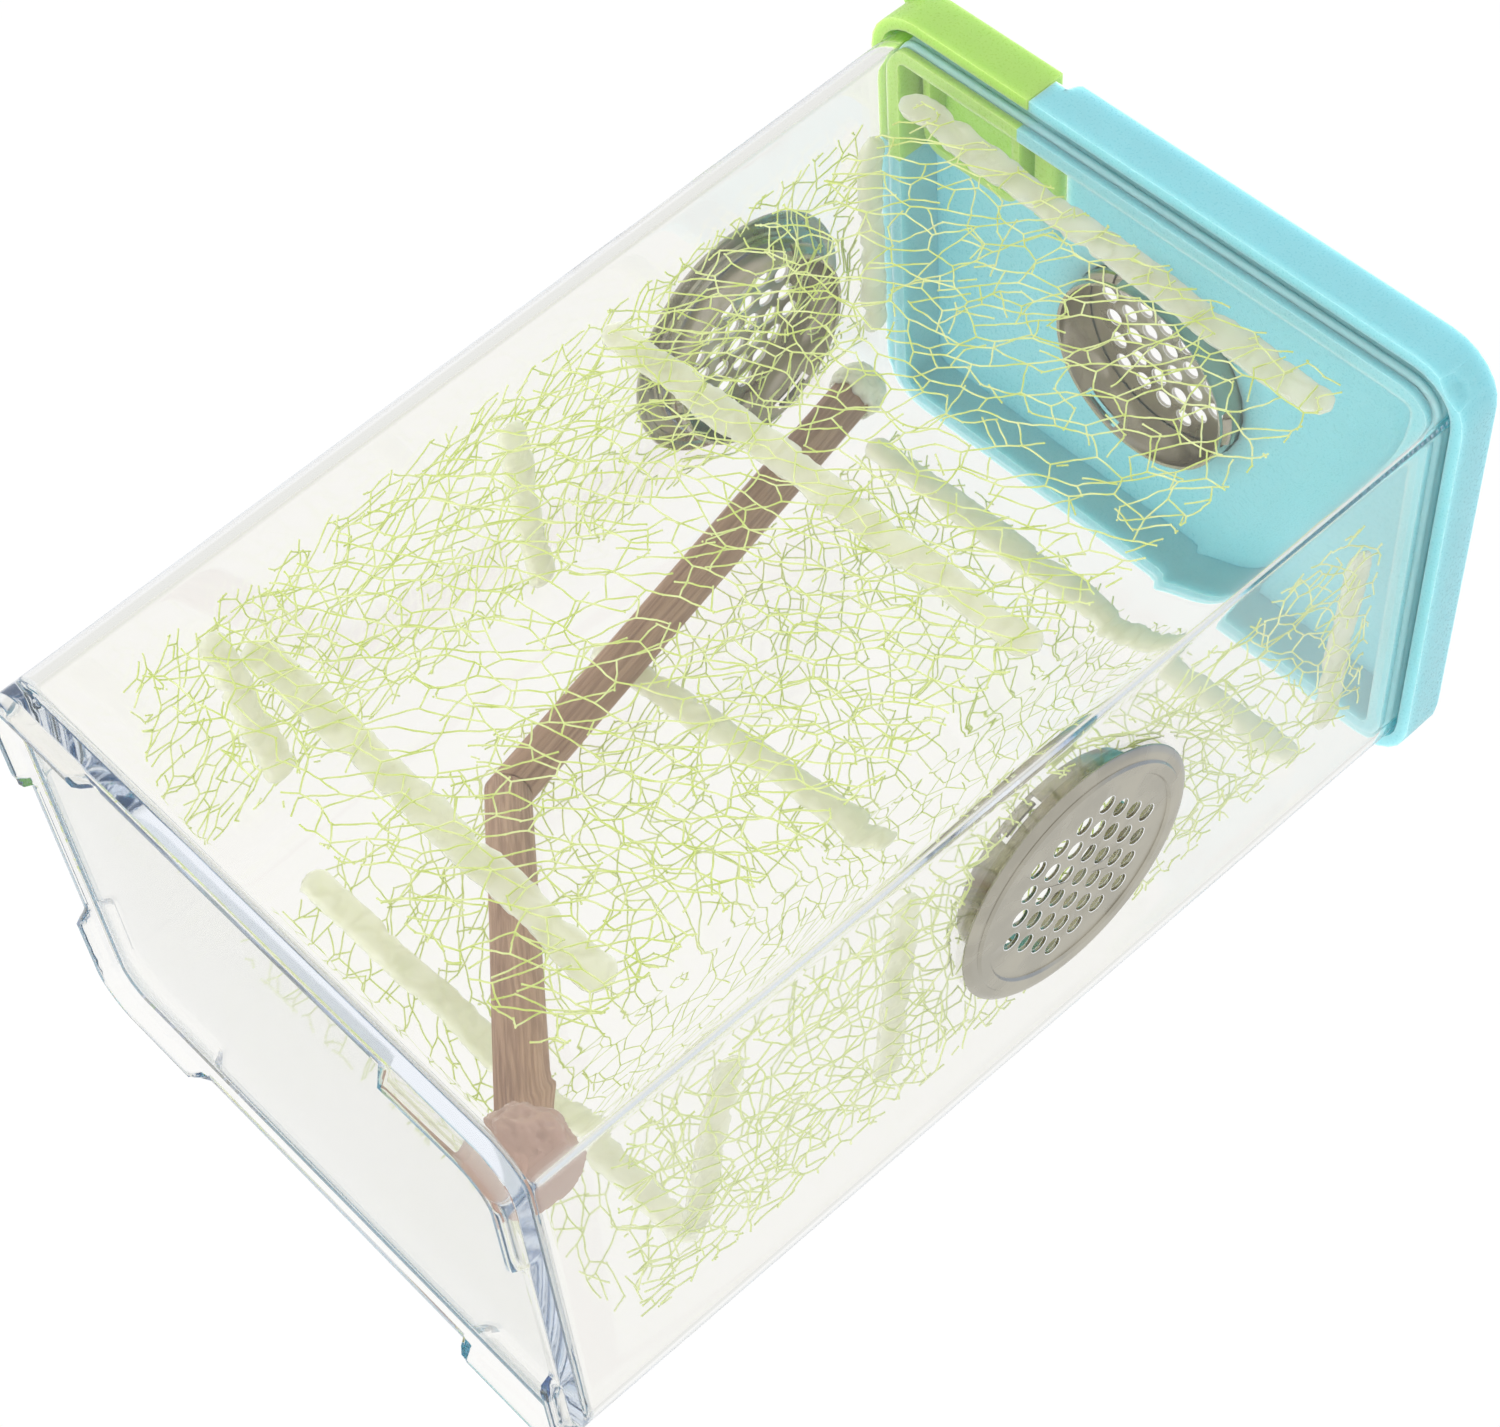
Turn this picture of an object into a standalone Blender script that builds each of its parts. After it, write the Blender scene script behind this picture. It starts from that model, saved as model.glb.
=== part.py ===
"""Insect breeding box: clear canister, snap-on lid with a flip-up corner, steel vents, net lining, perch.

Metres, +Z up. The box stands on its feet, its centre over the origin, its wide front wall facing -Y.
"""

import math
import random

import bmesh
import bpy
from mathutils import Matrix, Vector

MM = 0.001

# Clear canister
BOX_WIDTH = 108.0 * MM  # outside, at the mouth
BOX_DEPTH = 82.0 * MM
BOX_RISE = 171.0 * MM  # from the base rim to the mouth
WALL_DRAFT = 2.0 * MM  # how far each wall leans out over that rise
CORNER_RADIUS = 7.0 * MM
WALL = 2.0 * MM
FLOOR = 2.0 * MM
FLOOR_RECESS = 1.0 * MM  # the floor's underside over the base rim
FOOT_HEIGHT = 2.0 * MM
FOOT_ARM = 20.0 * MM
FOOT_INSET = 0.2 * MM  # of its rib from both faces of the wall above

# Lid
LID_PLATE = 2.2 * MM
LID_SKIRT = 2.0 * MM
LID_SKIRT_HEIGHT = 6.0 * MM  # below the plate
LID_SKIRT_GAP = 0.4 * MM
LID_EDGE_ROUND = 1.2 * MM
EDGE_SOFTENING = 0.3  # share of the round that its middle point keeps
PLUG_WALL = 1.6 * MM
PLUG_DEPTH = 8.0 * MM
PLUG_GAP = 1.6 * MM  # between the plug and the box wall, where the seal sits
PLUG_LIP = 0.8 * MM
PLUG_LIP_HEIGHT = 1.4 * MM
SEAL_HEIGHT = 3.0 * MM
THUMB_SCOOP_RADIUS = 6.0 * MM
THUMB_SCOOP_DEPTH = 1.2 * MM

# Corner flap and its hinge, whose axis runs front to back
FLAP_WIDTH = 30.0 * MM  # from the box's left side to the hinge
FLAP_REACH = 26.0 * MM  # from the box's front to the flap's back edge
HINGE_RADIUS = 2.0 * MM
HINGE_SINK = 0.15 * MM  # the barrel's top under the lid's top
HINGE_PIN_RADIUS = 1.0 * MM
HINGE_PIN_LENGTH = 1.6 * MM
HINGE_PIN_GAP = 0.15 * MM
HINGE_EAR = 2.2 * MM
HINGE_BOSS_END = 1.2 * MM  # of plastic past the pin's end
FLAP_OPEN_DEGREES = 110.0
FLAP_LIP_DEPTH = 3.5 * MM
FLAP_LIP_WALL = 1.4 * MM
FLAP_LIP_GAP = 0.8 * MM
NUB_RADIUS = 3.2 * MM
NUB_REACH = 3.0 * MM  # how far the nub stands out of the lid's corner

# Steel vents
VENT_COLLAR_RADIUS = 17.0 * MM
VENT_FLANGE_WIDTH = 4.3 * MM  # past the collar
VENT_SHEET = 0.6 * MM
VENT_RISE = 0.5 * MM  # the plate's middle over its rolled edge
VENT_RING_WIDTH = 3.1 * MM  # from the pressed ring to the rim
VENT_RING_RISE = 0.4 * MM
VENT_COLLAR_REACH = 3.0 * MM  # past the inner face of what it passes through
VENT_HOLE_RADIUS = 1.4 * MM
VENT_HOLE_PITCH = 4.35 * MM
VENT_HOLE_ROWS = 3  # rows on each side of the middle row
VENT_HOLE_SIDES = 6
VENT_TAB_WIDTH = 7.0 * MM
VENT_TAB_HEIGHT = 1.8 * MM
VENT_TABS = 3
VENT_TAB_TURN = 45.0  # degrees from a row of holes to the first tab
VENT_SIDES = 24
RIGHT_VENT_ALONG = -2.8 * MM
RIGHT_VENT_HEIGHT = 94.0 * MM  # over the base rim
LEFT_VENT_ALONG = 1.5 * MM
LEFT_VENT_DROP = 39.3 * MM  # under the mouth
LID_VENT = (-2.0 * MM, 1.0 * MM)  # from the lid's middle
RIGHT_VENT_TURN = 158.0  # degrees round its own axis
LEFT_VENT_TURN = 113.0
LID_VENT_TURN = 74.0

# Net panels: margins from the box's two sides, over the floor and under the lid's plug
NET_STRAND = 0.9 * MM
NET_THICKNESS = 0.8 * MM
NET_CELL = 12.0 * MM
NET_JITTER = 2.0 * MM
NET_MARGINS = {
    "front": (16.0 * MM, 12.0 * MM, 12.0 * MM, 5.3 * MM),
    "back": (10.0 * MM, 12.0 * MM, 14.0 * MM, 7.3 * MM),
    "left": (16.0 * MM, 20.0 * MM, 13.0 * MM, 5.3 * MM),
    "right": (16.0 * MM, 19.0 * MM, 12.0 * MM, 7.3 * MM),
}
NET_FOLD_START = 1.2 * MM  # outside the collar, where the net leaves the collar's end
NET_FOLD_RUN = 3.8 * MM  # and how much farther out it is back on the wall
NET_KNOT_SPACE = 0.04  # least share of a strand between a fold and its knot
NET_CORNER_LIMIT = 0.35  # keeps a gap's sharp corners from spiking

# Hot glue strips: margins of both ends from the box's sides, and their heights over the floor,
# or for the high ones under the lid's plug
GLUE_WIDTH = 5.0 * MM
GLUE_THICKNESS = 1.8 * MM
GLUE_WAVE = 0.5 * MM
GLUE_WAVE_STEP = 8.0 * MM
GLUE_CROWN = 0.55  # share of the width that is flat on top
GLUE_STRIPS = {
    "front": {
        "low": (21.0 * MM, 14.5 * MM, 25.5 * MM, 24.0 * MM),
        "middle": (14.0 * MM, 12.0 * MM, 94.5 * MM, 95.5 * MM),
        "high": (12.5 * MM, 11.5 * MM, 5.8 * MM, 9.3 * MM),
    },
    "back": {
        "low": (9.5 * MM, 14.0 * MM, 28.5 * MM, 29.0 * MM),
        "middle": (8.5 * MM, 38.0 * MM, 87.5 * MM, 94.0 * MM),
        "high": (9.0 * MM, 9.0 * MM, 12.3 * MM, 11.8 * MM),
    },
    "left": {
        "low": (19.5 * MM, 23.5 * MM, 27.0 * MM, 31.5 * MM),
        "middle": (22.0 * MM, 22.0 * MM, 81.5 * MM, 82.5 * MM),
        "high": (18.5 * MM, 21.5 * MM, 4.8 * MM, 5.3 * MM),
    },
    "right": {
        "low": (19.5 * MM, 28.0 * MM, 32.5 * MM, 23.0 * MM),
        "middle": (16.5 * MM, 25.5 * MM, 63.0 * MM, 58.0 * MM),
        "high": (25.0 * MM, 19.0 * MM, 10.3 * MM, 13.3 * MM),
    },
}

# Perch of two sticks
STICK_RADIUS = 3.7 * MM
STICK_SWELL = (1.0, 0.97, 1.0, 0.96, 1.0)  # its radius along its length
STICK_SIDES = 10
PERCH_FOOT_FROM_RIGHT = 1.4 * MM  # clear of the right wall, the front wall and the floor
PERCH_FOOT_FROM_FRONT = 4.9 * MM
PERCH_FOOT_FROM_FLOOR = 0.8 * MM
PERCH_JOINT_FROM_LEFT = 22.2 * MM  # from the box's left side
PERCH_JOINT_HEIGHT = 58.3 * MM  # over the floor
PERCH_TOP_FROM_BACK = 14.0 * MM  # from the box's back
PERCH_TOP_DROP = 13.8 * MM  # under the lid's plug
FOOT_GLUE_RADIUS = 6.6 * MM
TOP_GLUE_RADIUS = 5.0 * MM
GLUE_SOCKET = 3.5 * MM  # how much of a stick's end its glue wraps

GAP = 0.3 * MM  # between pieces that touch
CUT = 2.0 * MM  # how far a cutter runs past what it cuts
CORNER_STEPS = 6
ROUND_SIDES = 16

BASE_Z = FOOT_HEIGHT
FLOOR_Z = BASE_Z + FLOOR_RECESS + FLOOR
MOUTH_Z = BASE_Z + BOX_RISE
PLATE_Z = MOUTH_Z + GAP
TOP_Z = PLATE_Z + LID_PLATE
PLUG_LOW_Z = PLATE_Z - PLUG_DEPTH
HINGE_X = FLAP_WIDTH - BOX_WIDTH / 2
FLAP_BACK_Y = FLAP_REACH - BOX_DEPTH / 2
HINGE_Z = TOP_Z - HINGE_RADIUS - HINGE_SINK
VENT_FLANGE_RADIUS = VENT_COLLAR_RADIUS + VENT_FLANGE_WIDTH
RIGHT_VENT = (RIGHT_VENT_ALONG, BASE_Z + RIGHT_VENT_HEIGHT)  # sideways place and height
LEFT_VENT = (LEFT_VENT_ALONG, MOUTH_Z - LEFT_VENT_DROP)
WALL_LEAN = math.atan(WALL_DRAFT / BOX_RISE)


def make_material(name, colour, roughness, metallic=0.0, alpha=1.0):
    """Return a Principled material."""
    material = bpy.data.materials.new(name)
    material.use_nodes = True
    shader = material.node_tree.nodes["Principled BSDF"]
    shader.inputs["Base Color"].default_value = (*colour, 1.0)
    shader.inputs["Roughness"].default_value = roughness
    shader.inputs["Metallic"].default_value = metallic
    shader.inputs["Alpha"].default_value = alpha
    return material


def add_object(name, mesh, material=None, parent=None):
    """Link a mesh as an object and give it its material and parent."""
    item = bpy.data.objects.new(name, mesh)
    bpy.context.collection.objects.link(item)
    if material is not None:
        mesh.materials.append(material)
    if parent is not None:
        item.parent = parent
    return item


def finish(bm, name):
    """Turn a bmesh into a mesh with its faces pointing out."""
    bmesh.ops.recalc_face_normals(bm, faces=bm.faces)
    mesh = bpy.data.meshes.new(name)
    bm.to_mesh(mesh)
    bm.free()
    return mesh


def smooth(item, degrees=35.0):
    """Shade an object smooth with sharp creases kept."""
    item.data.shade_smooth()
    item.data.set_sharp_from_angle(angle=math.radians(degrees))


def combine(item, other, operation="DIFFERENCE"):
    """Cut, join or intersect an object with a cutter that stays as a guide."""
    other.hide_render = True
    other.display_type = "WIRE"
    step = item.modifiers.new(other.name, "BOOLEAN")
    step.operation = operation
    step.solver = "EXACT"
    step.object = other


def rounded_rectangle(half_width, half_depth, radius):
    """Return the points of a rounded rectangle, counter-clockwise."""
    points = []
    for quarter, (sx, sy) in enumerate(((1, 1), (-1, 1), (-1, -1), (1, -1))):
        centre = Vector((sx * (half_width - radius), sy * (half_depth - radius)))
        for step in range(CORNER_STEPS + 1):
            angle = math.radians(90.0 * (quarter + step / CORNER_STEPS))
            points.append(centre + radius * Vector((math.cos(angle), math.sin(angle))))
    return points


def loft(name, rings, closed=False):
    """Bridge loops of equal length. Ends are capped, or joined to each other if closed."""
    bm = bmesh.new()
    loops = []
    for outline, height in rings:
        loops.append([bm.verts.new((point[0], point[1], height)) for point in outline])
    count = len(loops[0])
    pairs = list(zip(loops, loops[1:]))
    if closed:
        pairs.append((loops[-1], loops[0]))
    for lower, upper in pairs:
        for index in range(count):
            after = (index + 1) % count
            bm.faces.new((lower[index], lower[after], upper[after], upper[index]))
    if not closed:
        bm.faces.new(loops[0])
        bm.faces.new(loops[-1])
    return finish(bm, name)


def prism(name, outline, low, high):
    """Extrude a plane outline from one height to another."""
    return loft(name, ((outline, low), (outline, high)))


def turned(name, profile, sides):
    """Spin a closed profile of (radius, height) about Z. Points at radius 0 are poles."""
    bm = bmesh.new()
    rings = []
    for radius, height in profile:
        if radius == 0.0:
            rings.append([bm.verts.new((0.0, 0.0, height))])
            continue
        ring = []
        for side in range(sides):
            angle = math.tau * side / sides
            ring.append(bm.verts.new((radius * math.cos(angle), radius * math.sin(angle), height)))
        rings.append(ring)
    pairs = list(zip(rings, rings[1:]))
    if len(rings[0]) > 1:
        pairs.append((rings[-1], rings[0]))
    for first, second in pairs:
        for side in range(sides):
            after = (side + 1) % sides
            corners = (
                first[side % len(first)],
                first[after % len(first)],
                second[after % len(second)],
                second[side % len(second)],
            )
            bm.faces.new(tuple(dict.fromkeys(corners)))
    return finish(bm, name)


def cylinder(name, radius, start, end, sides=ROUND_SIDES):
    """A cylinder between two points."""
    axis = end - start
    bm = bmesh.new()
    place = Matrix.Translation((start + end) / 2) @ axis.to_track_quat("Z", "Y").to_matrix().to_4x4()
    bmesh.ops.create_cone(
        bm, cap_ends=True, segments=sides, radius1=radius, radius2=radius, depth=axis.length, matrix=place
    )
    return finish(bm, name)


def block(name, low, high):
    """A box between two corners."""
    outline = ((low[0], low[1]), (high[0], low[1]), (high[0], high[1]), (low[0], high[1]))
    return prism(name, outline, low[2], high[2])


def outline_along_y(name, outline, low_y, high_y):
    """Extrude an outline given as (x, z) along Y."""
    bm = bmesh.new()
    front = [bm.verts.new((x, low_y, z)) for x, z in outline]
    back = [bm.verts.new((x, high_y, z)) for x, z in outline]
    count = len(outline)
    bm.faces.new(front)
    bm.faces.new(back)
    for index in range(count):
        after = (index + 1) % count
        bm.faces.new((front[index], front[after], back[after], back[index]))
    return finish(bm, name)


def wall_inset(height):
    """How far a wall's outside stands in from the mouth's outline at a height."""
    return WALL_DRAFT * (MOUTH_Z - height) / BOX_RISE


def box_outline(height, inset=0.0):
    """The box's outside outline at a height, drawn in by an inset."""
    shrink = wall_inset(height) + inset
    return rounded_rectangle(BOX_WIDTH / 2 - shrink, BOX_DEPTH / 2 - shrink, CORNER_RADIUS - inset)


def mouth_outline(grow):
    """The mouth's outside outline grown by an amount, for the lid's parts."""
    return rounded_rectangle(BOX_WIDTH / 2 + grow, BOX_DEPTH / 2 + grow, CORNER_RADIUS + grow)


def wall_frame(side, along, height):
    """A frame on a wall's outside: local X sideways, local Y up the wall, local Z out of it."""
    out = {"front": (0, -1), "back": (0, 1), "left": (-1, 0), "right": (1, 0)}[side]
    reach = (BOX_WIDTH if out[0] else BOX_DEPTH) / 2 - wall_inset(height)
    across = Vector((abs(out[1]), abs(out[0]), 0.0))
    normal = Vector((out[0] * math.cos(WALL_LEAN), out[1] * math.cos(WALL_LEAN), -math.sin(WALL_LEAN)))
    up = Vector((out[0] * math.sin(WALL_LEAN), out[1] * math.sin(WALL_LEAN), math.cos(WALL_LEAN)))
    sideways = up.cross(normal)
    origin = Vector((out[0] * reach, out[1] * reach, height)) + across * along
    frame = Matrix((sideways, up, normal)).transposed().to_4x4()
    frame.translation = origin
    return frame


def lid_frame_matrix(along_x, along_y):
    """A frame on the lid's top: local Z up."""
    return Matrix.Translation((along_x, along_y, TOP_Z))


def foot_outline(sign_x, sign_y):
    """An L-shaped rib round one corner of the base, inside the box's outline."""
    outer = FOOT_INSET
    inner = WALL - FOOT_INSET
    shrink = wall_inset(BASE_Z)
    half_width = BOX_WIDTH / 2 - shrink
    half_depth = BOX_DEPTH / 2 - shrink
    points = []
    for inset, steps in ((outer, range(CORNER_STEPS + 1)), (inner, range(CORNER_STEPS, -1, -1))):
        radius = CORNER_RADIUS - inset
        centre = Vector((half_width - CORNER_RADIUS, half_depth - CORNER_RADIUS))
        arc = []
        for step in steps:
            angle = math.radians(90.0 * step / CORNER_STEPS)
            arc.append(centre + radius * Vector((math.cos(angle), math.sin(angle))))
        ends = (
            Vector((half_width - inset, half_depth - FOOT_ARM)),
            Vector((half_width - FOOT_ARM, half_depth - inset)),
        )
        if inset == outer:
            points += [ends[0], *arc, ends[1]]
        else:
            points += [ends[1], *arc, ends[0]]
    return [(sign_x * point[0], sign_y * point[1]) for point in points]


def build_box(material):
    """The clear canister with its feet and its two vent holes."""
    rings = (
        (box_outline(FLOOR_Z, WALL), FLOOR_Z),
        (box_outline(MOUTH_Z, WALL), MOUTH_Z),
        (box_outline(MOUTH_Z), MOUTH_Z),
        (box_outline(BASE_Z), BASE_Z),
        (box_outline(BASE_Z, WALL), BASE_Z),
        (box_outline(BASE_Z, WALL), BASE_Z + FLOOR_RECESS),
    )
    box = add_object("breeding_box", loft("breeding_box", rings), material)
    for sign_x in (-1, 1):
        for sign_y in (-1, 1):
            name = f"foot_{sign_x}_{sign_y}"
            foot = prism(name, foot_outline(sign_x, sign_y), 0.0, BASE_Z + FLOOR_RECESS / 2)
            combine(box, add_object(name, foot), "UNION")
    for side, place in (("right", RIGHT_VENT), ("left", LEFT_VENT)):
        hole = cylinder(
            f"{side}_vent_hole",
            VENT_COLLAR_RADIUS + GAP,
            Vector((0, 0, -WALL - CUT)),
            Vector((0, 0, CUT)),
            VENT_SIDES,
        )
        cutter = add_object(f"{side}_vent_hole", hole)
        cutter.matrix_world = wall_frame(side, *place)
        combine(box, cutter)
    smooth(box)


def hinge_circle(radius, first_degrees, last_degrees, steps=6):
    """Points round the hinge's axis, as (x, z)."""
    points = []
    for step in range(steps + 1):
        angle = math.radians(first_degrees + (last_degrees - first_degrees) * step / steps)
        points.append((HINGE_X + radius * math.cos(angle), HINGE_Z + radius * math.sin(angle)))
    return points


def swing_room_outline(low):
    """What the open flap needs of the lid beside the hinge, down to a height, as (x, z)."""
    reach = HINGE_RADIUS + HINGE_SINK + GAP
    past_upright = math.radians(FLAP_OPEN_DEGREES - 90.0)
    top = TOP_Z + CUT
    lean = reach / math.cos(past_upright) + math.tan(past_upright) * (top - HINGE_Z)
    start = max(-90.0, math.degrees(math.asin(max((low - HINGE_Z) / reach, -1.0))))
    return [
        (HINGE_X - reach, low),
        *hinge_circle(reach, start, -math.degrees(past_upright)),
        (HINGE_X + lean, top),
        (HINGE_X - reach, top),
    ]


def plug_outline(inset):
    """The lid plug's outside outline drawn in by an inset."""
    return mouth_outline(-(WALL + PLUG_GAP + inset))


def skirt_rings():
    """The lid's skirt and top from the plate's underside, outwards and up to the top face."""
    skirt_in = LID_SKIRT_GAP
    skirt_out = LID_SKIRT_GAP + LID_SKIRT
    soft = LID_EDGE_ROUND * EDGE_SOFTENING
    return (
        (mouth_outline(skirt_in), PLATE_Z),
        (mouth_outline(skirt_in), PLATE_Z - LID_SKIRT_HEIGHT),
        (mouth_outline(skirt_out), PLATE_Z - LID_SKIRT_HEIGHT),
        (mouth_outline(skirt_out), TOP_Z - LID_EDGE_ROUND),
        (mouth_outline(skirt_out - soft), TOP_Z - soft),
        (mouth_outline(skirt_out - LID_EDGE_ROUND), TOP_Z),
    )


def build_lid(material):
    """The blue lid: plate, skirt and plug, with its corner cut away for the flap."""
    skirt_out = LID_SKIRT_GAP + LID_SKIRT
    rings = (
        (plug_outline(PLUG_WALL), PLATE_Z),
        (plug_outline(PLUG_WALL), PLUG_LOW_Z),
        (plug_outline(-PLUG_LIP), PLUG_LOW_Z),
        (plug_outline(-PLUG_LIP), PLUG_LOW_Z + PLUG_LIP_HEIGHT),
        (plug_outline(0.0), PLUG_LOW_Z + PLUG_LIP_HEIGHT),
        (plug_outline(0.0), PLATE_Z),
        *skirt_rings(),
    )
    lid = add_object("lid_frame", loft("lid_frame", rings), material)

    vent_hole = cylinder(
        "lid_vent_hole",
        VENT_COLLAR_RADIUS + GAP,
        Vector((*LID_VENT, PLATE_Z - CUT)),
        Vector((*LID_VENT, TOP_Z + CUT)),
        VENT_SIDES,
    )
    combine(lid, add_object("lid_vent_hole", vent_hole))

    # The plate goes over the whole flap, the skirt only outside the plug
    far_x = -BOX_WIDTH / 2 - skirt_out - CUT
    far_y = -BOX_DEPTH / 2 - skirt_out - CUT
    back_y = FLAP_BACK_Y + GAP / 2
    plate_cut = block("flap_plate_cut", (far_x, far_y, MOUTH_Z), (HINGE_X + GAP / 2, back_y, TOP_Z + CUT))
    combine(lid, add_object("flap_plate_cut", plate_cut))
    between = WALL + PLUG_GAP - PLUG_LIP - LID_SKIRT_GAP - GAP
    inner = [point for point in mouth_outline(-between) if point[0] < 0 and point[1] < 0]
    skirt_shape = [
        (HINGE_X + GAP / 2, far_y),
        (far_x, far_y),
        (far_x, back_y),
        (inner[0][0], back_y),
        *inner,
        (HINGE_X + GAP / 2, inner[-1][1]),
    ]
    skirt_cut = prism("flap_skirt_cut", skirt_shape[::-1], PLATE_Z - LID_SKIRT_HEIGHT - CUT, TOP_Z)
    combine(lid, add_object("flap_skirt_cut", skirt_cut))

    # Room for the flap's swing along the whole seam, and round its barrel behind the ear
    ear_front, ear_back = ear_span()
    swing = outline_along_y("swing_room", swing_room_outline(MOUTH_Z), far_y, back_y)
    combine(lid, add_object("swing_room", swing))
    barrel = outline_along_y(
        "barrel_room", swing_room_outline(HINGE_Z - HINGE_RADIUS - HINGE_SINK - GAP), ear_back + GAP / 2, back_y
    )
    combine(lid, add_object("barrel_room", barrel))

    # The ear on the plug and the boss under the plate hold the flap's pins
    web = HINGE_X + 2 * HINGE_RADIUS + GAP
    ear_shape = [
        *hinge_circle(HINGE_RADIUS, 0.0, 270.0, 12),
        (web, HINGE_Z - HINGE_RADIUS),
        (web, HINGE_Z + HINGE_SINK),
    ]
    ear = outline_along_y("hinge_ear", ear_shape, ear_front, ear_back)
    combine(lid, add_object("hinge_ear", ear), "UNION")
    boss_front = back_y + HINGE_PIN_GAP
    boss_back = boss_front + HINGE_PIN_LENGTH + HINGE_PIN_GAP + HINGE_BOSS_END
    boss = outline_along_y("hinge_boss", hinge_circle(HINGE_RADIUS, 0.0, 345.0, 23), boss_front, boss_back)
    combine(lid, add_object("hinge_boss", boss), "UNION")
    for name, low_y, high_y in (
        ("ear", ear_back - HINGE_PIN_LENGTH, ear_back + CUT),
        ("boss", back_y - CUT, back_y + HINGE_PIN_LENGTH + HINGE_PIN_GAP),
    ):
        bore = cylinder(
            f"pin_bore_{name}",
            HINGE_PIN_RADIUS + HINGE_PIN_GAP,
            Vector((HINGE_X, low_y, HINGE_Z)),
            Vector((HINGE_X, high_y, HINGE_Z)),
        )
        combine(lid, add_object(f"pin_bore_{name}", bore))

    # Thumb scoop under the near corner
    diagonal = Vector((1, -1, 0)).normalized()
    arc_centre = Vector((BOX_WIDTH / 2 - CORNER_RADIUS, CORNER_RADIUS - BOX_DEPTH / 2, 0))
    surface = CORNER_RADIUS + skirt_out
    scoop_at = arc_centre + diagonal * (surface + THUMB_SCOOP_RADIUS - THUMB_SCOOP_DEPTH)
    scoop_at.z = PLATE_Z - LID_SKIRT_HEIGHT
    bm = bmesh.new()
    bmesh.ops.create_uvsphere(
        bm,
        u_segments=ROUND_SIDES,
        v_segments=ROUND_SIDES // 2,
        radius=THUMB_SCOOP_RADIUS,
        matrix=Matrix.Translation(scoop_at),
    )
    combine(lid, add_object("thumb_scoop", finish(bm, "thumb_scoop")))
    smooth(lid)


def ear_span():
    """The front and back of the lid's hinge ear, which grows out of the plug."""
    plug_middle = -(BOX_DEPTH / 2 - WALL - PLUG_GAP - PLUG_WALL / 2)
    return plug_middle, plug_middle + PLUG_WALL / 2 + HINGE_EAR


def build_seal(material):
    """The soft ring between the plug and the box wall."""
    low = PLUG_LOW_Z + PLUG_LIP_HEIGHT + GAP
    high = low + SEAL_HEIGHT
    middle = (low + high) / 2
    outer = -(WALL + GAP + wall_inset(low))
    inner = -(WALL + PLUG_GAP - GAP)
    rings = (
        (mouth_outline(outer - GAP), low),
        (mouth_outline(outer), middle),
        (mouth_outline(outer - GAP), high),
        (mouth_outline(inner), high),
        (mouth_outline(inner), low),
    )
    seal = add_object("lid_seal", loft("lid_seal", rings, closed=True), material)
    smooth(seal)


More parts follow.
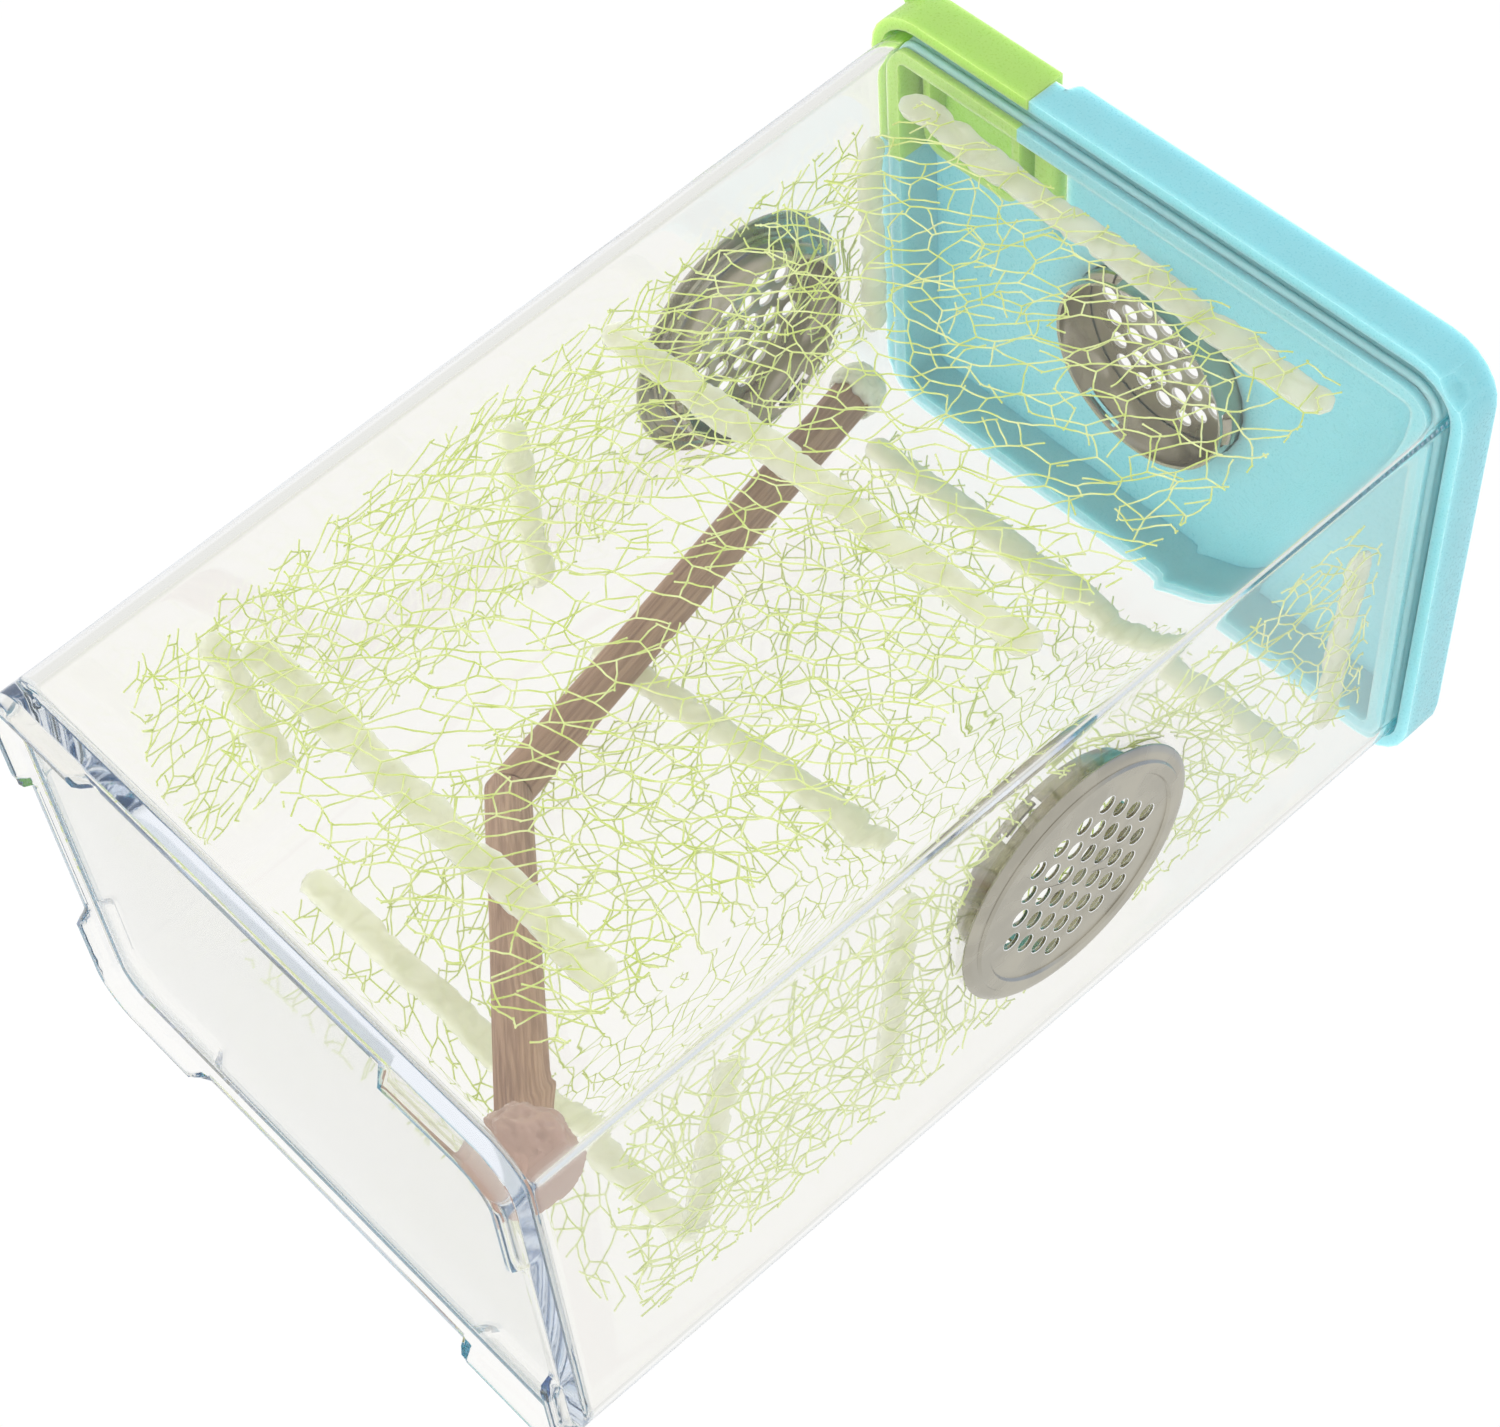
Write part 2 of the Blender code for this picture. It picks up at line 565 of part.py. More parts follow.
def build_flap(material):
    """The green corner of the lid with its barrel, pins, closing lip and finger nub."""
    hinge = bpy.data.objects.new("flap_hinge", None)
    hinge.location = (HINGE_X, FLAP_BACK_Y, HINGE_Z)
    bpy.context.collection.objects.link(hinge)
    to_hinge = Matrix.Translation(-hinge.location)

    def add(name, mesh):
        mesh.transform(to_hinge)
        return add_object(name, mesh, parent=hinge)

    edge = LID_EDGE_ROUND
    soft = edge * EDGE_SOFTENING
    flap = add("corner_flap", loft("corner_flap", skirt_rings()))
    flap.data.materials.append(material)

    near = HINGE_X - GAP / 2
    back = FLAP_BACK_Y - GAP / 2
    far_x = -BOX_WIDTH
    far_y = -BOX_DEPTH
    outline = [
        (far_x, PLATE_Z - LID_SKIRT_HEIGHT - CUT),
        (near, PLATE_Z - LID_SKIRT_HEIGHT - CUT),
        (near, TOP_Z - edge),
        (near - soft, TOP_Z - soft),
        (near - edge, TOP_Z),
        (near - edge, TOP_Z + CUT),
        (far_x, TOP_Z + CUT),
    ]
    corner = outline_along_y("flap_corner", outline, far_y, back)
    combine(flap, add("flap_corner", corner), "INTERSECT")

    # Barrel with its web, behind the ear
    ear_front, ear_back = ear_span()
    barrel_front = ear_back + GAP
    barrel_shape = [
        *hinge_circle(HINGE_RADIUS, -90.0, 90.0, 8),
        (HINGE_X - HINGE_RADIUS - HINGE_SINK, HINGE_Z + HINGE_RADIUS),
        (HINGE_X - HINGE_RADIUS - HINGE_SINK, HINGE_Z - HINGE_RADIUS),
    ]
    barrel = outline_along_y("flap_barrel", barrel_shape, barrel_front, back)
    combine(flap, add("flap_barrel", barrel), "UNION")

    ear_room = outline_along_y(
        "ear_room",
        [
            (HINGE_X - HINGE_RADIUS - GAP, HINGE_Z - HINGE_RADIUS - CUT),
            (HINGE_X + HINGE_RADIUS, HINGE_Z - HINGE_RADIUS - CUT),
            (HINGE_X + HINGE_RADIUS, TOP_Z + CUT),
            (HINGE_X - HINGE_RADIUS - GAP, TOP_Z + CUT),
        ],
        ear_front - GAP,
        barrel_front,
    )
    combine(flap, add("ear_room", ear_room))
    for name, low_y, high_y in (
        ("front", barrel_front - HINGE_PIN_LENGTH, barrel_front + HINGE_PIN_LENGTH),
        ("back", back - HINGE_PIN_LENGTH, back + HINGE_PIN_LENGTH),
    ):
        pin = cylinder(
            f"flap_pin_{name}",
            HINGE_PIN_RADIUS,
            Vector((HINGE_X, low_y, HINGE_Z)),
            Vector((HINGE_X, high_y, HINGE_Z)),
        )
        combine(flap, add(f"flap_pin_{name}", pin), "UNION")

    # Closing lip inside the lid's plug
    plug_in_x = -(BOX_WIDTH / 2 - WALL - PLUG_GAP - PLUG_WALL)
    plug_in_y = -(BOX_DEPTH / 2 - WALL - PLUG_GAP - PLUG_WALL)
    low_x = plug_in_x + FLAP_LIP_GAP
    high_x = HINGE_X - 2 * HINGE_RADIUS
    low_y = plug_in_y + FLAP_LIP_GAP
    high_y = back - FLAP_LIP_GAP
    centre = Vector(((low_x + high_x) / 2, (low_y + high_y) / 2))
    lip_radius = CORNER_RADIUS / 2
    lip_rings = []
    for inset, height in (
        (0.0, PLATE_Z + LID_PLATE / 2),
        (0.0, PLATE_Z - FLAP_LIP_DEPTH),
        (FLAP_LIP_WALL, PLATE_Z - FLAP_LIP_DEPTH),
        (FLAP_LIP_WALL, PLATE_Z + LID_PLATE / 2),
    ):
        outline = rounded_rectangle(
            (high_x - low_x) / 2 - inset, (high_y - low_y) / 2 - inset, lip_radius - inset
        )
        lip_rings.append(([centre + point for point in outline], height))
    combine(flap, add("flap_lip", loft("flap_lip", lip_rings, closed=True)), "UNION")

    # Round nub at the lid's corner, for a finger
    arc_centre = Vector((CORNER_RADIUS - BOX_WIDTH / 2, CORNER_RADIUS - BOX_DEPTH / 2, 0))
    out = CORNER_RADIUS + LID_SKIRT_GAP + LID_SKIRT + NUB_REACH - NUB_RADIUS
    nub_at = arc_centre + Vector((-1, -1, 0)).normalized() * out
    nub = turned(
        "flap_nub",
        (
            (0.0, PLATE_Z + GAP),
            (NUB_RADIUS - edge / 2, PLATE_Z + GAP),
            (NUB_RADIUS, PLATE_Z + GAP + edge / 2),
            (NUB_RADIUS, TOP_Z - edge),
            (NUB_RADIUS - edge / 2, TOP_Z - GAP),
            (0.0, TOP_Z - GAP),
        ),
        ROUND_SIDES,
    )
    nub.transform(Matrix.Translation(nub_at))
    combine(flap, add("flap_nub", nub), "UNION")
    smooth(flap)


def vent_hole_places():
    """Centres of the plate's holes: a hexagon of rows on a triangular grid."""
    places = []
    for row in range(-VENT_HOLE_ROWS, VENT_HOLE_ROWS + 1):
        count = 2 * VENT_HOLE_ROWS + 1 - abs(row)
        for index in range(count):
            along = (index - (count - 1) / 2) * VENT_HOLE_PITCH
            places.append((along, row * VENT_HOLE_PITCH * math.sqrt(3) / 2))
    return places


def vent_plate_mesh(name):
    """The perforated face plate, its rolled edge resting just off the wall."""
    low = GAP
    sheet = VENT_SHEET
    rise = VENT_RISE
    ring = VENT_FLANGE_RADIUS - VENT_RING_WIDTH
    ring_half = VENT_SHEET
    edge = VENT_FLANGE_RADIUS
    top = low + sheet + rise
    profile = (
        (0.0, top),
        (ring - ring_half, top),
        (ring, top + VENT_RING_RISE),
        (ring + ring_half, top),
        (edge - sheet / 2, low + sheet),
        (edge, low + sheet / 2),
        (edge - sheet / 2, low),
        (edge - 2 * sheet, low),
        (ring + ring_half, top - sheet),
        (ring, top - sheet + VENT_RING_RISE),
        (ring - ring_half, top - sheet),
        (0.0, top - sheet),
    )
    return turned(name, profile, VENT_SIDES)


def hole_cutter_mesh(name):
    """All the small cylinders that punch one plate."""
    bm = bmesh.new()
    for along, across in vent_hole_places():
        bmesh.ops.create_cone(
            bm,
            cap_ends=True,
            segments=VENT_HOLE_SIDES,
            radius1=VENT_HOLE_RADIUS,
            radius2=VENT_HOLE_RADIUS,
            depth=4 * CUT,
            matrix=Matrix.Translation((along, across, 0.0)),
        )
    return finish(bm, name)


def vent_collar_mesh(name, through):
    """The collar, from under the plate to past the inner face of what it passes through."""
    outer = VENT_COLLAR_RADIUS
    inner = outer - VENT_SHEET
    top = VENT_RISE
    low = -through - VENT_COLLAR_REACH
    profile = ((outer, top), (outer, low), (inner, low), (inner, top))
    return turned(name, profile, VENT_SIDES)


def build_vent(name, frame, turn, through, steel):
    """One vent: its plate and its collar with tab windows, on an empty at the wall's face."""
    seat = bpy.data.objects.new(f"{name}_seat", None)
    bpy.context.collection.objects.link(seat)
    seat.matrix_world = frame @ Matrix.Rotation(math.radians(turn), 4, "Z")
    plate = add_object(f"{name}_plate", vent_plate_mesh(f"{name}_plate"), steel, seat)
    punch = add_object(f"{name}_punch", hole_cutter_mesh(f"{name}_punch"), parent=seat)
    combine(plate, punch)
    smooth(plate)
    collar = add_object(f"{name}_collar", vent_collar_mesh(f"{name}_collar", through), steel, seat)
    window_low = -through - VENT_COLLAR_REACH + VENT_SHEET
    for tab in range(VENT_TABS):
        window = block(
            f"{name}_window_{tab}",
            (VENT_COLLAR_RADIUS / 2, -VENT_TAB_WIDTH / 2, window_low),
            (VENT_COLLAR_RADIUS + CUT, VENT_TAB_WIDTH / 2, window_low + VENT_TAB_HEIGHT),
        )
        window_turn = math.radians(VENT_TAB_TURN) + math.tau * tab / VENT_TABS
        window.transform(Matrix.Rotation(window_turn, 4, "Z"))
        combine(collar, add_object(f"{name}_window_{tab}", window, parent=seat))
    smooth(collar)


def net_height(point, vent):
    """How far the net stands off the wall at a point, lifted over a vent's collar."""
    if vent is None:
        return GAP
    away = (Vector(point) - Vector(vent)).length
    lift = (VENT_COLLAR_RADIUS + NET_FOLD_START + NET_FOLD_RUN - away) / NET_FOLD_RUN
    return GAP + VENT_COLLAR_REACH * min(max(lift, 0.0), 1.0)


def net_cells(low_x, high_x, low_y, high_y, seed):
    """Loose hexagons of a stretched net: shared knots, and the ring of knots of each gap."""
    chance = random.Random(seed)
    columns = max(2, round((high_x - low_x) / NET_CELL))
    rows = max(2, round((high_y - low_y) / NET_CELL))
    step_x = (high_x - low_x) / columns
    step_y = (high_y - low_y) / rows
    knots = {}

    def knot(half_column, row):
        key = (half_column, row)
        if key not in knots:
            dip = step_y / 6 if (half_column + row) % 2 == 0 else -step_y / 6
            x = low_x + half_column * step_x / 2
            y = low_y + row * step_y + dip
            knots[key] = (
                x + chance.uniform(-NET_JITTER, NET_JITTER),
                y + chance.uniform(-NET_JITTER, NET_JITTER),
            )
        return key

    cells = []
    for row in range(rows):
        start = row % 2
        for column in range(columns - start):
            left = start + 2 * column
            cells.append(
                [
                    knot(left, row),
                    knot(left + 1, row),
                    knot(left + 2, row),
                    knot(left + 2, row + 1),
                    knot(left + 1, row + 1),
                    knot(left, row + 1),
                ]
            )
    return knots, cells


def bend_over_collar(knots, cells, vent):
    """Add a knot where a strand crosses a fold circle round the vent."""
    centre = Vector(vent)
    extra = {}

    def crossings(first, second):
        start = Vector(knots[first])
        run = Vector(knots[second]) - start
        found = []
        fold = VENT_COLLAR_RADIUS + NET_FOLD_START
        for radius in (fold, fold + NET_FOLD_RUN):
            a = run.dot(run)
            b = 2 * run.dot(start - centre)
            c = (start - centre).dot(start - centre) - radius * radius
            inside = b * b - 4 * a * c
            if inside <= 0.0:
                continue
            for sign in (-1, 1):
                share = (-b + sign * math.sqrt(inside)) / (2 * a)
                if NET_KNOT_SPACE < share < 1.0 - NET_KNOT_SPACE:
                    found.append((share, start + run * share))
        return sorted(found, key=lambda item: item[0])

    bent = []
    for cell in cells:
        ring = []
        for first, second in zip(cell, cell[1:] + cell[:1]):
            ring.append(first)
            key = (min(first, second), max(first, second))
            if key not in extra:
                extra[key] = []
                for index, (share, place) in enumerate(crossings(*key)):
                    name = (*key, index)
                    knots[name] = (place.x, place.y)
                    extra[key].append(name)
            names = extra[key] if key == (first, second) else extra[key][::-1]
            ring += names
        bent.append(ring)
    return bent


def inset_ring(points, width):
    """Draw a counter-clockwise ring of points in by a width, corner by corner."""
    count = len(points)
    result = []
    for index in range(count):
        before = Vector(points[index - 1])
        here = Vector(points[index])
        after = Vector(points[(index + 1) % count])
        first = (here - before).normalized()
        second = (after - here).normalized()
        normal_one = Vector((-first.y, first.x))
        normal_two = Vector((-second.y, second.x))
        middle = (normal_one + normal_two).normalized()
        reach = width / max(middle.dot(normal_one), NET_CORNER_LIMIT)
        result.append(here + middle * reach)
    return result


def wall_half(side):
    """Half of a wall's width at the mouth."""
    return (BOX_WIDTH if side in ("front", "back") else BOX_DEPTH) / 2


def wall_sign(side):
    """Which way a wall frame's local X runs along the row's X or Y."""
    return 1.0 if side in ("front", "right") else -1.0


def build_net(side, margins, vent, seed, material):
    """One wall's net: a slab of strands with an open gap in every cell."""
    first, second, low, high = margins
    sign = wall_sign(side)
    middle_x = (first - second) / 2
    half_x = wall_half(side) - (first + second) / 2
    middle_y = (FLOOR_Z + low + PLUG_LOW_Z - high) / 2
    half_y = (PLUG_LOW_Z - high - FLOOR_Z - low) / 2
    knots, cells = net_cells(-half_x, half_x, -half_y, half_y, seed)
    centre = None
    if vent is not None:
        centre = (sign * (vent[0] - middle_x), vent[1] - middle_y)
        cells = bend_over_collar(knots, cells, centre)

    bm = bmesh.new()

    def pair(point):
        back = -WALL - net_height(point, centre)
        return (
            bm.verts.new((point[0], point[1], back)),
            bm.verts.new((point[0], point[1], back - NET_THICKNESS)),
        )

    outer = {key: pair(point) for key, point in knots.items()}
    edges = {}
    for ring in cells:
        inner = [pair(point) for point in inset_ring([knots[key] for key in ring], NET_STRAND / 2)]
        count = len(ring)
        for index in range(count):
            after = (index + 1) % count
            here, there = outer[ring[index]], outer[ring[after]]
            near, far = inner[index], inner[after]
            bm.faces.new((here[0], there[0], far[0], near[0]))
            bm.faces.new((near[1], far[1], there[1], here[1]))
            bm.faces.new((near[0], far[0], far[1], near[1]))
            key = frozenset((ring[index], ring[after]))
            edges.setdefault(key, []).append((ring[index], ring[after]))
    for uses in edges.values():
        if len(uses) == 1:
            first, second = uses[0]
            here, there = outer[first], outer[second]
            bm.faces.new((there[0], here[0], here[1], there[1]))
    bmesh.ops.delete(bm, geom=[vert for vert in bm.verts if not vert.link_faces], context="VERTS")
    net = add_object(f"net_{side}", finish(bm, f"net_{side}"), material)
    net.matrix_world = wall_frame(side, middle_x, middle_y)


def glue_outline(length, seed):
    """A strip's wavy outline with round ends, about its middle."""
    chance = random.Random(seed)
    half = GLUE_WIDTH / 2
    straight = length - GLUE_WIDTH
    steps = max(3, round(straight / GLUE_WAVE_STEP))
    edges = []
    for sign in (1, -1):
        for step in range(steps + 1):
            along = sign * (straight / 2 - straight * step / steps)
            edges.append((along, sign * (half + chance.uniform(-GLUE_WAVE, GLUE_WAVE))))
        for turn in (45.0, 90.0, 135.0):
            angle = math.radians(turn + (90.0 if sign > 0 else -90.0))
            edges.append((-sign * straight / 2 + half * math.cos(angle), half * math.sin(angle)))
    return edges


def build_glue_strip(side, level, margins, seed, material):
    """One strip of glue over the net, its edges rounded down."""
    first, second, first_height, second_height = margins
    sign = wall_sign(side)
    run = sign * (2 * wall_half(side) - first - second)
    rise = second_height - first_height
    middle = (first - second) / 2
    height = FLOOR_Z + (first_height + second_height) / 2
    if level == "high":
        rise = -rise
        height = PLUG_LOW_Z - (first_height + second_height) / 2
    length = math.hypot(run, rise)
    outline = glue_outline(length, seed)
    back = -WALL - 2 * GAP - NET_THICKNESS
    shorter = 1 - GLUE_THICKNESS / length
    crown = [(along * shorter, across * GLUE_CROWN) for along, across in outline]
    rings = ((outline, back), (outline, back - GLUE_THICKNESS / 2), (crown, back - GLUE_THICKNESS))
    name = f"glue_{side}_{level}"
    strip = add_object(name, loft(name, rings), material)
    tilt = math.atan2(rise, run)
    strip.matrix_world = wall_frame(side, middle, height) @ Matrix.Rotation(tilt, 4, "Z")
    smooth(strip)


def perch_points():
    """Foot, joint and top of the perch's centre line."""
    foot_z = FLOOR_Z + PERCH_FOOT_FROM_FLOOR + STICK_RADIUS
    inside = WALL + wall_inset(foot_z) + STICK_RADIUS
    foot = Vector(
        (
            BOX_WIDTH / 2 - inside - PERCH_FOOT_FROM_RIGHT,
            PERCH_FOOT_FROM_FRONT + inside - BOX_DEPTH / 2,
            foot_z,
        )
    )
    joint_z = FLOOR_Z + PERCH_JOINT_HEIGHT
    joint_wall = BOX_DEPTH / 2 - wall_inset(joint_z) - WALL
    joint_y = joint_wall - 3 * GAP - NET_THICKNESS - STICK_RADIUS
    joint = Vector((PERCH_JOINT_FROM_LEFT - BOX_WIDTH / 2, joint_y, joint_z))
    top_z = PLUG_LOW_Z - PERCH_TOP_DROP
    top_wall = BOX_WIDTH / 2 - wall_inset(top_z) - WALL
    top = Vector((2 * GAP + STICK_RADIUS - top_wall, BOX_DEPTH / 2 - PERCH_TOP_FROM_BACK, top_z))
    return foot, joint, top


def stick_mesh(name, start, end, start_normal, end_normal, radius):
    """A slightly uneven round stick whose ends are cut on planes."""
    axis = (end - start).normalized()
    side = axis.orthogonal().normalized()
    up = axis.cross(side)
    bm = bmesh.new()
    loops = []
    for station, factor in enumerate(STICK_SWELL):
        share = station / (len(STICK_SWELL) - 1)
        loop = []
        for index in range(STICK_SIDES):
            angle = math.tau * index / STICK_SIDES
            arm = (side * math.cos(angle) + up * math.sin(angle)) * radius * factor
            point = start.lerp(end, share) + arm
            if share == 0.0:
                point -= axis * ((point - start).dot(start_normal) / axis.dot(start_normal))
            if share == 1.0:
                point -= axis * ((point - end).dot(end_normal) / axis.dot(end_normal))
            loop.append(bm.verts.new(point))
        loops.append(loop)
    for lower, upper in zip(loops, loops[1:]):
        for index in range(STICK_SIDES):
            after = (index + 1) % STICK_SIDES
            bm.faces.new((lower[index], lower[after], upper[after], upper[index]))
    bm.faces.new(loops[0])
    bm.faces.new(loops[-1])
    return finish(bm, name)


def build_perch(wood, brown_glue, clear_glue):
    """Two mitred sticks and the glue that holds their ends."""
    foot, joint, top = perch_points()
    lower_axis = (joint - foot).normalized()
    upper_axis = (top - joint).normalized()
    mitre = (lower_axis + upper_axis).normalized()
    lower_end = joint - mitre * GAP / 2
    upper_start = joint + mitre * GAP / 2
    lower = stick_mesh("stick_lower", foot, lower_end, lower_axis, mitre, STICK_RADIUS)
    smooth(add_object("stick_lower", lower, wood))
    upper = stick_mesh("stick_upper", upper_start, top, mitre, upper_axis, STICK_RADIUS)
    smooth(add_object("stick_upper", upper, wood))

    build_glue_lump("glue_perch_foot", foot, -lower_axis, FOOT_GLUE_RADIUS, brown_glue)
    build_glue_lump("glue_perch_top", top, upper_axis, TOP_GLUE_RADIUS, clear_glue)


def build_glue_lump(name, end, outward, radius, material):
    """A lump of glue round a stick's end, cut to the box's inside and to the stick."""
    bm = bmesh.new()
    centre = end + outward * GLUE_SOCKET / 2
    bmesh.ops.create_icosphere(bm, subdivisions=2, radius=radius, matrix=Matrix.Translation(centre))
    lump = add_object(name, finish(bm, name), material)
    inside = loft(
        f"{name}_room",
        (
            (box_outline(FLOOR_Z, WALL + GAP), FLOOR_Z + GAP),
            (box_outline(MOUTH_Z, WALL + GAP), MOUTH_Z),
        ),
    )
    combine(lump, add_object(f"{name}_room", inside), "INTERSECT")
    socket = cylinder(
        f"{name}_socket",
        STICK_RADIUS + GAP,
        end + outward * GAP,
        end - outward * 4 * radius,
        STICK_SIDES * 2,
    )
    combine(lump, add_object(f"{name}_socket", socket))
    smooth(lump)


def main():
    """Clear the scene and build every piece."""
    for item in list(bpy.data.objects):
        bpy.data.objects.remove(item)

    clear = make_material("clear_plastic", (0.93, 0.95, 0.97), 0.08, alpha=0.3)
    blue = make_material("blue_plastic", (0.30, 0.72, 0.86), 0.35, alpha=0.8)
    green = make_material("green_plastic", (0.42, 0.78, 0.18), 0.35, alpha=0.85)
    silicone = make_material("silicone", (0.85, 0.88, 0.88), 0.5)
    steel = make_material("steel", (0.55, 0.54, 0.51), 0.28, 1.0)
    net = make_material("net_cord", (0.58, 0.75, 0.18), 0.55)
    glue = make_material("hot_glue", (0.84, 0.85, 0.80), 0.4)
    brown = make_material("brown_glue", (0.42, 0.28, 0.22), 0.25)
    wood = make_material("stick_bark", (0.32, 0.19, 0.13), 0.85)

    build_box(clear)
    build_lid(blue)
    build_seal(silicone)
    build_flap(green)

    build_vent("vent_right", wall_frame("right", *RIGHT_VENT), RIGHT_VENT_TURN, WALL, steel)
    build_vent("vent_left", wall_frame("left", *LEFT_VENT), LEFT_VENT_TURN, WALL, steel)
    build_vent("vent_lid", lid_frame_matrix(*LID_VENT), LID_VENT_TURN, LID_PLATE, steel)

    vents = {"right": RIGHT_VENT, "left": LEFT_VENT}
    for seed, (side, margins) in enumerate(NET_MARGINS.items()):
        build_net(side, margins, vents.get(side), seed, net)
    for side, strips in GLUE_STRIPS.items():
        for seed, (level, margins) in enumerate(strips.items()):
            build_glue_strip(side, level, margins, seed, glue)
    build_perch(wood, brown, glue)


main()
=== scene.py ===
"""Looks of the insect breeding box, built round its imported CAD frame.

Metres, +Z up, in the frame of the CAD: the wide front wall faces -Y and the box stands on its feet.
"""

import logging
import math
import random
import sys
from dataclasses import dataclass, field
from enum import Enum
from typing import Any, Iterable, Sequence

import bmesh
import bpy
from mathutils import Matrix, Vector, noise


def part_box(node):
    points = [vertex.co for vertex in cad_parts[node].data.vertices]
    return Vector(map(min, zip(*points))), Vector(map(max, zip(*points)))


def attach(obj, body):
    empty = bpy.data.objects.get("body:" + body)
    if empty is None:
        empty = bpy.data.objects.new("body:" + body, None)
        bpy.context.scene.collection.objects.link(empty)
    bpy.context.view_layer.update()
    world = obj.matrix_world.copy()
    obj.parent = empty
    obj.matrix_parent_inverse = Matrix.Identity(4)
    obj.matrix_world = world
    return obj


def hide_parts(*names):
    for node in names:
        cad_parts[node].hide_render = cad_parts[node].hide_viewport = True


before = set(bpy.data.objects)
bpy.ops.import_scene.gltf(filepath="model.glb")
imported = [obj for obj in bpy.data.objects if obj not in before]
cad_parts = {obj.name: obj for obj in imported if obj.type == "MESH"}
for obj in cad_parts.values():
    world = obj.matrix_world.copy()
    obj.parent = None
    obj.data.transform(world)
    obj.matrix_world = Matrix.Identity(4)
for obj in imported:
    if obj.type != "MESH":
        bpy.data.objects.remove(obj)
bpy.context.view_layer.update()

LOG = logging.getLogger("breeding_box")

MM = 0.001
MOST_SMOOTH_CORNERS = 12
NOISE_SEED = 2

Colour = tuple[float, float, float]
Flat = tuple[float, float]


def from_screen(red: int, green: int, blue: int) -> Colour:
    """Turn a colour as a screen shows it, 0 to 255, into linear light.

    Args:
        red: The red part.
        green: The green part.
        blue: The blue part.

    Returns:
        The colour in linear light, 0 to 1.
    """

    def linear(part: int) -> float:
        """Undo the screen's curve for one part."""
        share = part / 255
        return share / 12.92 if share <= 0.04045 else ((share + 0.055) / 1.055) ** 2.4

    return linear(red), linear(green), linear(blue)


class Side(Enum):
    """The four walls, each with the way it faces."""

    FRONT = (0, -1)
    BACK = (0, 1)
    LEFT = (-1, 0)
    RIGHT = (1, 0)

    @property
    def label(self) -> str:
        """The wall's name as the CAD nodes have it."""
        return self.name.lower()

    @property
    def sign(self) -> float:
        """Which way the wall frame's local X runs along the box's X or Y."""
        return 1.0 if self in (Side.FRONT, Side.RIGHT) else -1.0


class Socket:
    """An output of a node, on which Python's operators add maths nodes."""

    def __init__(self, graph: "Graph", link: bpy.types.NodeSocket) -> None:
        """Keep the graph and the output.

        Args:
            graph: The graph that new nodes go into.
            link: The output that this stands for.
        """
        self.graph = graph
        self.link = link

    def _maths(self, operation: str, first: Any, second: Any = 0.0) -> "Socket":
        """Add one maths node, of vectors where either side is one.

        Args:
            operation: The node's operation.
            first: The first value or socket.
            second: The second value or socket.

        Returns:
            The node's result.
        """
        vectors = any(isinstance(side, Socket) and side.link.type == "VECTOR" for side in (first, second))
        kind = "ShaderNodeVectorMath" if vectors else "ShaderNodeMath"
        return self.graph.node(kind, {"operation": operation}, {0: first, 1: second})

    def __add__(self, other: Any) -> "Socket":
        """Sum."""
        return self._maths("ADD", self, other)

    __radd__ = __add__

    def __sub__(self, other: Any) -> "Socket":
        """Difference."""
        return self._maths("SUBTRACT", self, other)

    def __rsub__(self, other: Any) -> "Socket":
        """Difference from the left."""
        return self._maths("SUBTRACT", other, self)

    def __mul__(self, other: Any) -> "Socket":
        """Product."""
        return self._maths("MULTIPLY", self, other)

    __rmul__ = __mul__

    def __truediv__(self, other: Any) -> "Socket":
        """Quotient."""
        return self._maths("DIVIDE", self, other)

    def __gt__(self, other: Any) -> "Socket":
        """One where this is greater."""
        return self._maths("GREATER_THAN", self, other)

    def floor(self) -> "Socket":
        """Round down."""
        return self._maths("FLOOR", self)

    def modulo(self, other: Any) -> "Socket":
        """Rest of a division."""
        return self._maths("MODULO", self, other)

    def absolute(self) -> "Socket":
        """Size without its sign."""
        return self._maths("ABSOLUTE", self)

    def largest(self, other: Any) -> "Socket":
        """The greater of two."""
        return self._maths("MAXIMUM", self, other)

    def part(self, axis: str) -> "Socket":
        """One part of a vector.

        Args:
            axis: X, Y or Z.

        Returns:
            That part.
        """
        return self.graph.node("ShaderNodeSeparateXYZ", {}, {0: self}, axis)

    def ramp(self, start: float, end: float, low: float = 0.0, high: float = 1.0) -> "Socket":
        """Map a span of this value onto another, smoothly and held at both ends.

        Args:
            start: The value that gives low.
            end: The value that gives high.
            low: The result at start.
            high: The result at end.

        Returns:
            The mapped value.
        """
        settings = {"interpolation_type": "SMOOTHSTEP"}
        values = {"Value": self, "From Min": start, "From Max": end, "To Min": low, "To Max": high}
        return self.graph.node("ShaderNodeMapRange", settings, values)


